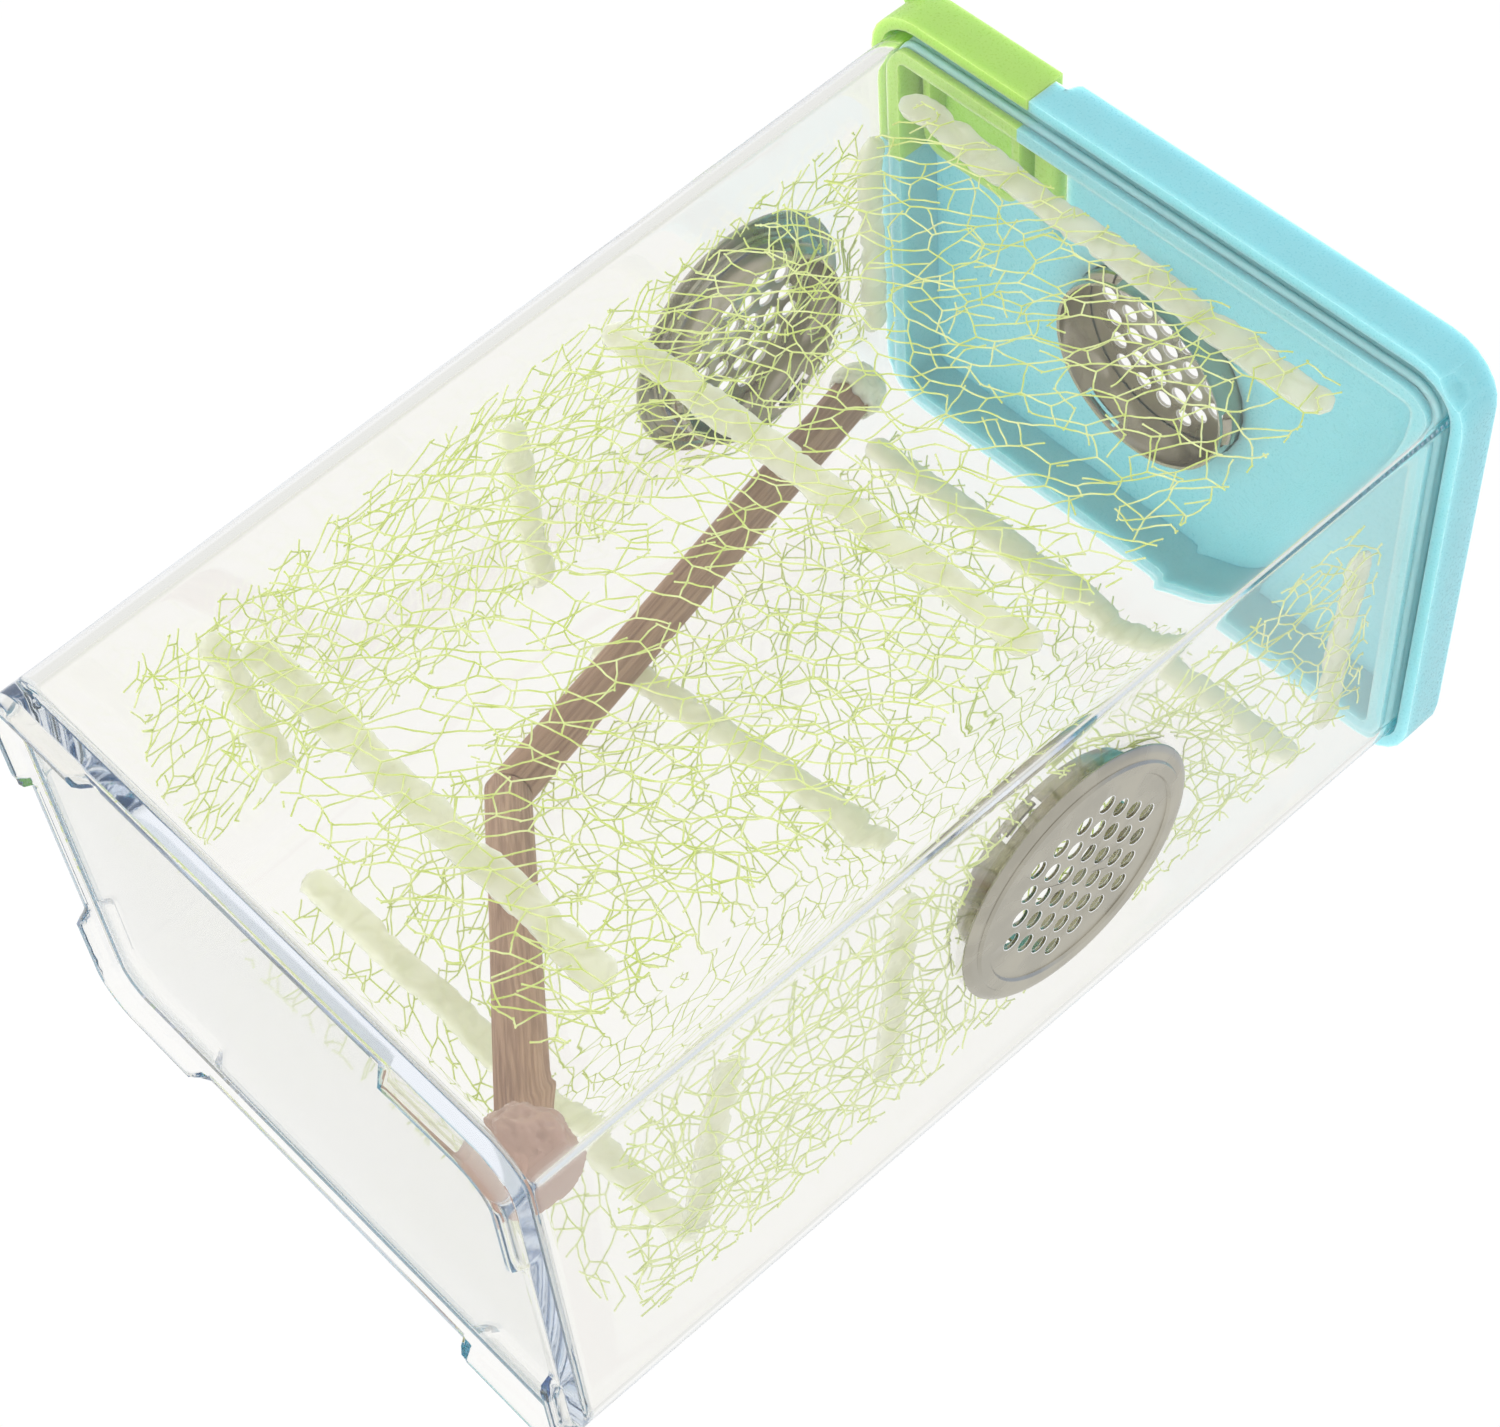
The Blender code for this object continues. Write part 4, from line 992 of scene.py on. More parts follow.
@dataclass
class Canister:
    """The clear box: drafted walls, rounded mouth, base rim with four corner feet."""

    sizes: BoxSizes = SIZES
    foot_arm: float = 20 * MM
    foot_inset: float = 0.2 * MM
    foot_slope: float = 1.6 * MM
    floor_fillet: float = 1.5 * MM
    edge: float = 0.5 * MM
    support: float = 0.6 * MM
    rim_height: float = 2.4 * MM
    hole_radius: float = 17.3 * MM
    hole_sides: int = 96
    runs: tuple[int, int] = (94, 68)
    arc: int = 18
    fillet_steps: int = 5
    edge_steps: int = 4

    def ring(self, inset: float, height: float, foot: float = 0.0) -> list[tuple[float, float, float]]:
        """One ring of the body.

        Args:
            inset: How far it stands in from the wall's outside.
            height: Its height.
            foot: How far it drops at the feet.

        Returns:
            Its points.
        """
        shrink = self.sizes.inset(height) + inset
        half_x = self.sizes.width / 2 - shrink
        half_y = self.sizes.depth / 2 - shrink
        outline = rounded_outline(half_x, half_y, self.sizes.corner - inset, self.arc, self.runs)
        points = []
        for x, y in outline:
            from_corner = (half_x - abs(x)) + (half_y - abs(y))
            share = (self.foot_arm + self.foot_slope - from_corner) / self.foot_slope
            share = min(max(share, 0.0), 1.0)
            smooth = share * share * (3 - 2 * share)
            points.append((x, y, height - foot * smooth))
        return points

    def rim_rings(self) -> list[list[tuple[float, float, float]]]:
        """The rings round the base's rim, down over the feet and in to the recessed floor.

        Returns:
            The rings in order.
        """
        rim = drop = self.sizes.base_z
        wall = self.sizes.wall
        recess = self.sizes.floor_recess
        outer = self.foot_inset
        inner = wall - self.foot_inset
        edge = self.edge
        steps = (
            (0.0, rim + edge, 0.0),
            (outer / 2, rim + edge * 0.3, drop * 0.55),
            (outer, rim + edge * 0.25, drop * 0.9),
            (outer + edge * 0.4, rim, drop),
            (inner - edge * 0.4, rim, drop),
            (inner, rim + edge * 0.25, drop * 0.9),
            (wall, rim + edge * 0.4, 0.0),
            (wall, rim + recess - edge * 0.4, 0.0),
            (wall + edge * 0.4, rim + recess, 0.0),
        )
        return [self.ring(*step) for step in steps]

    def build(self) -> bpy.types.Object:
        """Build the canister, cut its vent holes and dress it.

        Returns:
            The piece.
        """
        sizes = self.sizes
        wall = sizes.wall
        fillet = self.floor_fillet
        rings = []
        for step in range(self.fillet_steps + 1):
            turn = math.radians(90 * step / self.fillet_steps)
            inset = wall + fillet * (1 - math.sin(turn))
            rings.append(self.ring(inset, sizes.floor_z + fillet * (1 - math.cos(turn))))
        brink = sizes.mouth_z - self.edge
        rings.append(self.ring(wall, sizes.floor_z + fillet + self.support))
        rings.append(self.ring(wall, brink - self.support))
        rings.append(self.ring(wall, brink))
        for step in range(1, self.edge_steps + 1):
            turn = math.radians(90 * step / self.edge_steps)
            drawn_in = self.edge * (1 - math.cos(turn))
            rings.append(self.ring(wall - drawn_in, sizes.mouth_z - self.edge * (1 - math.sin(turn))))
        for step in range(self.edge_steps + 1):
            turn = math.radians(90 * step / self.edge_steps)
            drawn_in = self.edge * (1 - math.sin(turn))
            rings.append(self.ring(drawn_in, sizes.mouth_z - self.edge * (1 - math.cos(turn))))
        rings.append(self.ring(0.0, brink - self.support))
        rings.append(self.ring(0.0, sizes.base_z + self.rim_height))
        rings += self.rim_rings()
        box = place_piece("canister", loft("canister", rings))
        steps = []
        for side, place in ((Side.RIGHT, sizes.right_vent), (Side.LEFT, sizes.left_vent)):
            start = Vector((0, 0, -3 * wall))
            end = Vector((0, 0, wall))
            hole = rod(f"{side.label}_hole", self.hole_radius, start, end, self.hole_sides)
            hole.transform(sizes.wall_frame(side, *place))
            steps.append(("DIFFERENCE", hole))
        carve(box, steps)
        return settle(box, "box", ["breeding_box"], CLEAR)


@dataclass
class Refined:
    """Copies a CAD node whose shape is right, and gives it soft edges and smooth shading."""

    node: str
    bevel: float
    segments: int = 3
    limit: float = 40.0
    weld: float = 0.002 * MM
    flat_limit: float = 0.5

    def build(self, name: str, body: str, slot: str, finish: Finish) -> bpy.types.Object:
        """Make the refined piece.

        Args:
            name: The piece's name.
            body: The CAD body that it rides on.
            slot: The record's material slot; not used.
            finish: Its finish.

        Returns:
            The piece.
        """
        bm = bmesh.new()
        bm.from_mesh(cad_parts[self.node].data)
        bmesh.ops.remove_doubles(bm, verts=bm.verts, dist=self.weld)
        flat = math.radians(self.flat_limit)
        bmesh.ops.dissolve_limit(bm, angle_limit=flat, verts=bm.verts, edges=bm.edges)
        mesh = bpy.data.meshes.new(name)
        bm.to_mesh(mesh)
        bm.free()
        piece = place_piece(name, mesh)
        step = piece.modifiers.new("soft_edges", "BEVEL")
        step.width = self.bevel
        step.segments = self.segments
        step.limit_method = "ANGLE"
        step.angle_limit = math.radians(self.limit)
        step.use_clamp_overlap = True
        freeze(piece)
        soften(piece.data, self.limit)
        return settle(piece, body, [self.node], finish)


@dataclass
class Seal:
    """The soft ring round the lid's plug, with two lips that press on the wall."""

    sizes: BoxSizes = SIZES

    def build(self) -> bpy.types.Object:
        """Build the ring inside the space of its CAD node.

        Returns:
            The piece.
        """
        low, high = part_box("lid_seal")
        sizes = self.sizes
        height = high.z - low.z
        outer = sizes.width / 2 - high.x
        inner = sizes.wall + 1.3 * MM
        profile = (
            (inner, 0.0),
            (outer + 0.5 * MM, 0.0),
            (outer + 0.1 * MM, 0.12),
            (outer, 0.25),
            (outer + 0.1 * MM, 0.36),
            (outer + 0.45 * MM, 0.5),
            (outer + 0.1 * MM, 0.64),
            (outer, 0.75),
            (outer + 0.1 * MM, 0.88),
            (outer + 0.5 * MM, 1.0),
            (inner, 1.0),
        )
        rings = []
        for inset, share in profile:
            outline = rounded_outline(
                sizes.width / 2 - inset, sizes.depth / 2 - inset, sizes.corner - inset, 14, (24, 16)
            )
            rings.append(at_height(outline, low.z + height * share))
        ring = place_piece("plug_seal", loft("plug_seal", rings, closed=True, crease=50.0))
        return settle(ring, "lid", ["lid_seal"], RUBBER)


@dataclass
class Vent:
    """One pressed steel vent: perforated face plate and a collar with spring tabs."""

    name: str
    body: str
    frame: Matrix
    turn: float
    through: float
    collar_radius: float = 17 * MM
    flange_radius: float = 21.3 * MM
    ring_radius: float = 18.2 * MM
    ring_half: float = 0.95 * MM
    ring_slope: float = 0.3 * MM
    ring_rise: float = 0.4 * MM
    sheet: float = 0.6 * MM
    rise: float = 0.5 * MM
    gap: float = 0.3 * MM
    collar_reach: float = 4.4 * MM
    hole_radius: float = 1.45 * MM
    hole_pitch: float = 4.35 * MM
    rows: int = 3
    tabs: int = 3
    tab_turn: float = 45.0
    tab_width: float = 7 * MM
    tab_height: float = 1.8 * MM
    collar_top: float = 0.1 * MM
    flat_share: float = 0.8
    flare: float = 0.25 * MM
    rim_bevel: float = 0.09 * MM
    tongue_rise: float = 0.99 * MM
    face_sides: int = 120
    cells: tuple[int, int] = (144, 16)

    def plate_profile(self) -> list[Flat]:
        """The plate's section from its middle out over the rolled edge and back.

        Returns:
            Its points as radius and height.
        """
        top = self.gap + self.sheet + self.rise
        low = self.gap
        edge = self.flange_radius
        half = self.sheet / 2
        rib = []
        for sign in (-1, 1):
            for step in range(4):
                lift = self.ring_rise * 0.5 * (1 + sign * math.cos(math.pi * step / 3))
                slope = self.ring_slope * (step / 3 - 0.5)
                rib.append((self.ring_radius + sign * self.ring_half + slope, lift))
        upper = [(0.0, top), (self.collar_radius * self.flat_share, top)]
        upper += [(radius, top + lift) for radius, lift in rib]
        upper += [(edge - 1.2 * MM, top - 0.02 * MM), (edge - 0.7 * MM, top - 0.14 * MM)]
        for step in range(7):
            angle = math.radians(70 - 150 * step / 6)
            upper.append((edge - half + half * math.cos(angle), low + half + half * math.sin(angle)))
        lower = [(edge - 1.0 * MM, low + 0.1 * MM), (edge - 1.5 * MM, top - self.sheet - 0.05 * MM)]
        lower += [(radius, top - self.sheet + lift) for radius, lift in reversed(rib)]
        lower += [(self.collar_radius * self.flat_share, top - self.sheet), (0.0, top - self.sheet)]
        return upper + lower

    @staticmethod
    def perforations() -> tuple[bpy.types.NodeTree, dict[str, str]]:
        """Build the tree that punches a hexagon of round holes on a triangular grid.

        Returns:
            The tree, and each named input's identifier.
        """
        name = "vent_perforations"
        tree = bpy.data.node_groups.get(name) or bpy.data.node_groups.new(name, "GeometryNodeTree")
        graph = Graph(tree)
        face = tree.interface
        if not face.items_tree:
            face.new_socket("Plate", in_out="INPUT", socket_type="NodeSocketGeometry")
            for label in ("Pitch", "Radius", "Rows"):
                face.new_socket(label, in_out="INPUT", socket_type="NodeSocketFloat")
            face.new_socket("Finish", in_out="INPUT", socket_type="NodeSocketMaterial")
            face.new_socket("Plate", in_out="OUTPUT", socket_type="NodeSocketGeometry")
        entry = graph.node("NodeGroupInput", output="Plate")
        node = entry.link.node
        pitch, radius, rows = (Socket(graph, node.outputs[label]) for label in ("Pitch", "Radius", "Rows"))
        count = rows * 2 + 1
        values = {"Count": count * count, "Offset": (0, 0, 0)}
        line = graph.node("GeometryNodeMeshLine", {"mode": "OFFSET"}, values)
        index = graph.node("GeometryNodeInputIndex")
        row = (index / count).floor() - rows
        column = index.modulo(count) - rows
        across = row * pitch * math.sqrt(0.75)
        along = (column + row * 0.5) * pitch
        place = graph.node("ShaderNodeCombineXYZ", {}, {"X": along, "Y": across})
        placed = graph.node("GeometryNodeSetPosition", {}, {"Geometry": line, "Position": place})
        outside = (row + column).absolute() > (rows + 0.5)
        kept = graph.node("GeometryNodeDeleteGeometry", {}, {"Geometry": placed, "Selection": outside})
        punch = graph.node(
            "GeometryNodeMeshCylinder", {}, {"Vertices": 20, "Radius": radius, "Depth": 6 * MM}, "Mesh"
        )
        punches = graph.node("GeometryNodeInstanceOnPoints", {}, {"Points": kept, "Instance": punch})
        real = graph.node("GeometryNodeRealizeInstances", {}, {"Geometry": punches})
        settings = {"operation": "DIFFERENCE", "solver": "EXACT"}
        cut = graph.node("GeometryNodeMeshBoolean", settings, {0: entry, 1: real}, "Mesh")
        steel = Socket(graph, node.outputs["Finish"])
        dressed = graph.node("GeometryNodeSetMaterial", {}, {"Geometry": cut, "Material": steel})
        graph.node("NodeGroupOutput", {}, {"Plate": dressed})
        keys = {item.name: item.identifier for item in face.items_tree if item.in_out == "INPUT"}
        return tree, keys

    def build_plate(self) -> bpy.types.Object:
        """Build the face plate and punch its holes.

        Returns:
            The piece.
        """
        name = f"{self.name}_face"
        plate = place_piece(name, turned(name, self.plate_profile(), self.face_sides))
        tree, keys = self.perforations()
        step = plate.modifiers.new("perforations", "NODES")
        step.node_group = tree
        step[keys["Pitch"]] = self.hole_pitch
        step[keys["Radius"]] = self.hole_radius
        step[keys["Rows"]] = float(self.rows)
        step[keys["Finish"]] = STEEL.material()
        freeze(plate)
        bm = bmesh.new()
        bm.from_mesh(plate.data)
        rims = [edge for edge in bm.edges if edge.is_manifold and edge.calc_face_angle() > math.radians(70)]
        bmesh.ops.bevel(bm, geom=rims, offset=self.rim_bevel, segments=2, profile=0.6, affect="EDGES")
        bm.to_mesh(plate.data)
        bm.free()
        plate.data.transform(self.frame @ Matrix.Rotation(math.radians(self.turn), 4, "Z"))
        soften(plate.data, 28.0)
        return settle(plate, self.body, [f"{self.name}_plate"])

    @property
    def collar_low(self) -> float:
        """Height of the collar's inner end in the vent's own frame."""
        return -self.through - self.collar_reach

    def collar_point(self, column: float, row: float) -> Vector:
        """A point of the collar's middle surface.

        Args:
            column: The place round it, 0 to 1.
            row: The place from its top to its inner end, 0 to 1.

        Returns:
            The point in the vent's own frame.
        """
        top = self.rise + self.collar_top
        depth = top + (self.collar_low - top) * row
        flare = self.flare * max(0.0, (row - 0.75) / 0.25) ** 2
        radius = self.collar_radius - self.sheet / 2 - flare
        angle = math.tau * column
        return Vector((radius * math.cos(angle), radius * math.sin(angle), depth))

    def in_window(self, column: float, row: float) -> bool:
        """Whether a place on the collar lies in one of the tabs' windows.

        Args:
            column: The place round it, 0 to 1.
            row: The place from its top to its inner end, 0 to 1.

        Returns:
            True in a window.
        """
        top = self.rise + self.collar_top
        height = top + (self.collar_low - top) * row
        if not self.sheet < height - self.collar_low < self.sheet + self.tab_height:
            return False
        half = self.tab_width / 2 / self.collar_radius
        for tab in range(self.tabs):
            middle = math.radians(self.tab_turn) + math.tau * tab / self.tabs
            away = (math.tau * column - middle + math.pi) % math.tau - math.pi
            if abs(away) < half:
                return True
        return False

    def build_collar(self) -> bpy.types.Object:
        """Build the collar with its windows and the spring tongue that is bent out of each.

        Returns:
            The piece.
        """
        across, down = self.cells
        bm = bmesh.new()
        grid = [
            [bm.verts.new(self.collar_point(column / across, row / down)) for column in range(across)]
            for row in range(down + 1)
        ]
        for row in range(down):
            for column in range(across):
                if self.in_window((column + 0.5) / across, (row + 0.5) / down):
                    continue
                after = (column + 1) % across
                upper, lower = grid[row], grid[row + 1]
                bm.faces.new((upper[column], upper[after], lower[after], lower[column]))
        for tab in range(self.tabs):
            middle = math.radians(self.tab_turn) + math.tau * tab / self.tabs
            half = self.tab_width / 2 / self.collar_radius * 0.8
            strip = []
            for step in range(5):
                share = step / 4
                bend = self.tongue_rise * math.sin(share * math.pi / 2)
                radius = self.collar_radius - self.sheet / 2 + bend
                height = self.collar_low + self.sheet + self.tab_height * 0.75 * share
                angles = [middle + half * (2 * cell / 6 - 1) for cell in range(7)]
                row = [(radius * math.cos(turn), radius * math.sin(turn), height) for turn in angles]
                strip.append([bm.verts.new(spot) for spot in row])
            for lower, upper in zip(strip, strip[1:]):
                for cell in range(6):
                    bm.faces.new((lower[cell], lower[cell + 1], upper[cell + 1], upper[cell]))
        collar = place_piece(f"{self.name}_ring", close_mesh(bm, f"{self.name}_ring"))
        step = collar.modifiers.new("sheet", "SOLIDIFY")
        step.thickness = self.sheet * 0.85
        step.offset = 0.0
        freeze(collar)
        collar.data.transform(self.frame @ Matrix.Rotation(math.radians(self.turn), 4, "Z"))
        soften(collar.data, 35.0)
        return settle(collar, self.body, [f"{self.name}_collar"], INNER_STEEL)

    def build(self) -> None:
        """Build both pieces."""
        self.build_plate()
        self.build_collar()


@dataclass
class NetPanel:
    """One wall's net: loose cells of thin yarn with knots, ragged at its edges."""

    LAYERS = (
        (0.5 * MM, 0.98, 0.0, 0.0),
        (0.75 * MM, 0.8, 0.4, 0.3),
        (0.9 * MM, 0.35, 1.3, 0.7),
    )

    side: Side
    margins: tuple[float, float, float, float]
    vent: Flat | None
    seed: int
    sizes: BoxSizes = SIZES
    bias: float = 30.0
    cell: float = 7.2 * MM
    stretch: float = 1.3
    jitter: float = 0.9 * MM
    drift: float = 10 * MM
    gather: float = 0.3
    sparse: float = 0.5
    gather_reach: float = 24 * MM
    yarn: float = 0.13 * MM
    crumple: float = 1.1 * MM
    fold_start: float = 18.2 * MM
    fold_run: float = 3.8 * MM
    collar_reach: float = 4.4 * MM
    row_share: float = 0.78
    wave_scale: float = 30.0
    pull_scale: float = 105.0
    pull_share: float = 0.22
    resample: float = 0.9 * MM
    knot_share: float = 1.35
    least_cover: float = 0.3
    merge: float = 0.01 * MM

    def extent(self) -> tuple[float, float, float, float]:
        """Half sizes and middle of the panel in its wall's frame.

        Returns:
            Half width, half height, middle along and middle height.
        """
        first, second, low, high = self.margins
        half_x = self.sizes.half(self.side) - (first + second) / 2
        bottom = self.sizes.floor_z + low
        top = self.sizes.plug_z - high
        return half_x, (top - bottom) / 2, (first - second) / 2, (top + bottom) / 2

    def lift(self, x: float, y: float, centre: Flat | None) -> float:
        """How far the net stands off the wall's inside at a place.

        Args:
            x: The place along.
            y: The place up.
            centre: The vent's place, if the wall has one.

        Returns:
            The distance.
        """
        if centre is None:
            return 0.0
        away = math.hypot(x - centre[0], y - centre[1])
        share = (self.fold_start + self.fold_run - away) / self.fold_run
        share = min(max(share, 0.0), 1.0)
        return self.collar_reach * share

    def layer(self, chance: random.Random, deep: float, keep: float, offset: Flat) -> list[list[Vector]]:
        """Strands of one layer, each a short line of points in the wall's frame.

        Args:
            chance: The source of its unevenness.
            deep: How far it lies off the wall.
            keep: Share of the strands that are there.
            offset: Shift of its cells.

        Returns:
            The strands.
        """
        half_x, half_y, middle_x, middle_y = self.extent()
        centre = None
        if self.vent is not None:
            centre = (self.side.sign * (self.vent[0] - middle_x), self.vent[1] - middle_y)
        step_y = self.cell * self.row_share
        reach = math.hypot(half_x, half_y) + self.drift
        columns = math.ceil(2 * reach / self.cell / self.stretch) + 2
        rows = math.ceil(2 * reach * self.stretch / step_y) + 2
        turn = Matrix.Rotation(math.radians(self.bias + 37 * offset[0] / self.cell), 2)
        knots = {}

        def over_collar(point: Vector) -> bool:
            """Whether a knot lies over the vent or on the slope beside its collar."""
            return centre is not None and (point - Vector(centre)).length < self.fold_start + self.fold_run

        def knot(column: int, row: int) -> Vector:
            """The place of one knot, worked out once.

            Args:
                column: Its column in the web.
                row: Its row in the web.

            Returns:
                The place in the wall's plane.
            """
            key = (column, row)
            if key not in knots:
                dip = step_y / 6 if (column + row) % 2 == 0 else -step_y / 6
                across = ((column - columns) * self.cell / 2 + offset[0]) * self.stretch
                up = ((row - rows / 2) * step_y + dip + offset[1]) / self.stretch
                flat = turn @ Vector((across, up))
                lane = Vector((self.seed * 7.3, 3.1, deep * 9000))
                wave = noise.noise_vector((flat * self.wave_scale).to_3d() + lane)
                pull = noise.noise_vector(Vector((*(flat * self.pull_scale), 5)) + lane)
                flat += self.drift * wave.xy + self.drift * self.pull_share * pull.xy
                flat += Vector((chance.uniform(-1, 1), chance.uniform(-1, 1))) * self.jitter
                if centre is not None:
                    away = Vector(centre) - flat
                    flat += away * self.gather * math.exp(-((away.length / self.gather_reach) ** 2))
                knots[key] = flat
            return knots[key]

        strands = []
        for row in range(rows):
            for column in range(2 * columns):
                here = knot(column, row)
                ahead = [knot(column + 1, row)]
                if (column + row) % 2 == 0:
                    ahead.append(knot(column, row + 1))
                for there in ahead:
                    inside = [abs(point.x) < half_x and abs(point.y) < half_y for point in (here, there)]
                    share = keep * (self.sparse if over_collar(here) or over_collar(there) else 1.0)
                    if not any(inside) or chance.random() > share:
                        continue
                    start = here
                    end = there if all(inside) else here.lerp(there, chance.uniform(0.3, 0.8))
                    if not inside[0]:
                        start, end = there, there.lerp(here, chance.uniform(0.3, 0.8))
                    strands.append(self.strand(start, end, centre, deep, (half_x, half_y)))
        return strands

    def strand(
        self, start: Vector, end: Vector, centre: Flat | None, deep: float, half: Flat
    ) -> list[Vector]:
        """One strand's points.

        Args:
            start: One knot.
            end: The other.
            centre: The vent's place.
            deep: The layer's depth.
            half: Half sizes of the panel, which no point leaves.

        Returns:
            The points in the wall's frame.
        """
        points = []
        for step in range(3):
            flat = start.lerp(end, step / 2)
            x = min(max(flat.x, -half[0]), half[0])
            y = min(max(flat.y, -half[1]), half[1])
            off = self.sizes.wall + deep + self.lift(x, y, centre)
            points.append(Vector((x, y, -off)))
        return points

    @staticmethod
    def yarn_tree() -> tuple[bpy.types.NodeTree, dict[str, str]]:
        """Build the tree that turns a web of edges into crumpled yarn with knots.

        Returns:
            The tree, and each named input's identifier.
        """
        name = "net_yarn"
        tree = bpy.data.node_groups.get(name) or bpy.data.node_groups.new(name, "GeometryNodeTree")
        graph = Graph(tree)
        face = tree.interface
        if not face.items_tree:
            face.new_socket("Web", in_out="INPUT", socket_type="NodeSocketGeometry")
            for label in ("Yarn", "Crumple", "Step", "Knot", "Seed"):
                face.new_socket(label, in_out="INPUT", socket_type="NodeSocketFloat")
            face.new_socket("Finish", in_out="INPUT", socket_type="NodeSocketMaterial")
            face.new_socket("Net", in_out="OUTPUT", socket_type="NodeSocketGeometry")
        entry = graph.node("NodeGroupInput", output="Web")
        node = entry.link.node
        yarn, crumple, step, knot, seed = (
            Socket(graph, node.outputs[label]) for label in ("Yarn", "Crumple", "Step", "Knot", "Seed")
        )
        place = graph.node("GeometryNodeInputPosition")
        curl = graph.node(
            "ShaderNodeTexNoise",
            {"noise_dimensions": "4D"},
            {"Vector": place, "W": seed, "Scale": 330.0, "Detail": 1.0},
            "Color",
        )
        flat = graph.node("ShaderNodeVectorMath", {"operation": "SUBTRACT"}, {0: curl, 1: (0.5, 0.5, 0.5)})
        offset = graph.node("ShaderNodeVectorMath", {"operation": "MULTIPLY"}, {0: flat, 1: (1.0, 1.0, 0.3)})
        offset = graph.node("ShaderNodeVectorMath", {"operation": "MULTIPLY"}, {0: offset, 1: crumple})
        curves = graph.node("GeometryNodeMeshToCurve", {}, {"Mesh": entry})
        fine = graph.node("GeometryNodeResampleCurve", {"mode": "LENGTH"}, {"Curve": curves, "Length": step})
        bent = graph.node("GeometryNodeSetPosition", {}, {"Geometry": fine, "Offset": offset})
        section = graph.node(
            "GeometryNodeCurvePrimitiveCircle", {"mode": "RADIUS"}, {"Resolution": 5, "Radius": yarn}
        )
        tubes = graph.node(
            "GeometryNodeCurveToMesh", {}, {"Curve": bent, "Profile Curve": section, "Fill Caps": True}
        )
        moved = graph.node("GeometryNodeSetPosition", {}, {"Geometry": entry, "Offset": offset})
        bead = graph.node("GeometryNodeMeshIcoSphere", {}, {"Radius": knot, "Subdivisions": 1}, "Mesh")
        beads = graph.node("GeometryNodeInstanceOnPoints", {}, {"Points": moved, "Instance": bead})
        joined = graph.node("GeometryNodeJoinGeometry")
        join = joined.link.node
        for part in (tubes, beads):
            tree.links.new(part.link, join.inputs["Geometry"])
        real = graph.node("GeometryNodeRealizeInstances", {}, {"Geometry": joined})
        cord = Socket(graph, node.outputs["Finish"])
        dressed = graph.node("GeometryNodeSetMaterial", {}, {"Geometry": real, "Material": cord})
        graph.node("NodeGroupOutput", {}, {"Net": dressed})
        keys = {item.name: item.identifier for item in face.items_tree if item.in_out == "INPUT"}
        return tree, keys

    def build(self) -> bpy.types.Object:
        """Returns:
            The piece.
        """
        chance = random.Random(self.seed)
        strands = []
        for deep, keep, across, up in self.LAYERS:
            strands += self.layer(chance, deep, keep, (self.cell * across, self.cell * up))
        bm = bmesh.new()
        found = {}
        for strand in strands:
            verts = []
            for point in strand:
                key = tuple(round(part / self.merge) for part in point)
                if key not in found:
                    found[key] = bm.verts.new(point)
                verts.append(found[key])
            for first, second in zip(verts, verts[1:]):
                if first is not second and bm.edges.get((first, second)) is None:
                    bm.edges.new((first, second))
        name = f"net_lining_{self.side.label}"
        mesh = bpy.data.meshes.new(name)
        bm.to_mesh(mesh)
        bm.free()
        net = place_piece(name, mesh)
        tree, keys = self.yarn_tree()
        step = net.modifiers.new("yarn", "NODES")
        step.node_group = tree
        step[keys["Yarn"]] = self.yarn
        step[keys["Crumple"]] = self.crumple
        step[keys["Step"]] = self.resample
        step[keys["Knot"]] = self.yarn * self.knot_share
        step[keys["Seed"]] = float(self.seed)
        step[keys["Finish"]] = NET.material()
        freeze(net)
        half_x, half_y, middle_x, middle_y = self.extent()
        net.data.transform(self.sizes.wall_frame(self.side, middle_x, middle_y))
        net.data.shade_smooth()
        settle(net, "box", [f"net_{self.side.label}"])
        area = sum(face.area for face in net.data.polygons) / 2
        flat = (2 * half_x, 2 * half_y)
        share = max(self.least_cover, area / (flat[0] * flat[1]))
        share * flat[0] * flat[1]
        LOG.info("net %s covers %.2f of its cut", self.side.label, share)
        return net


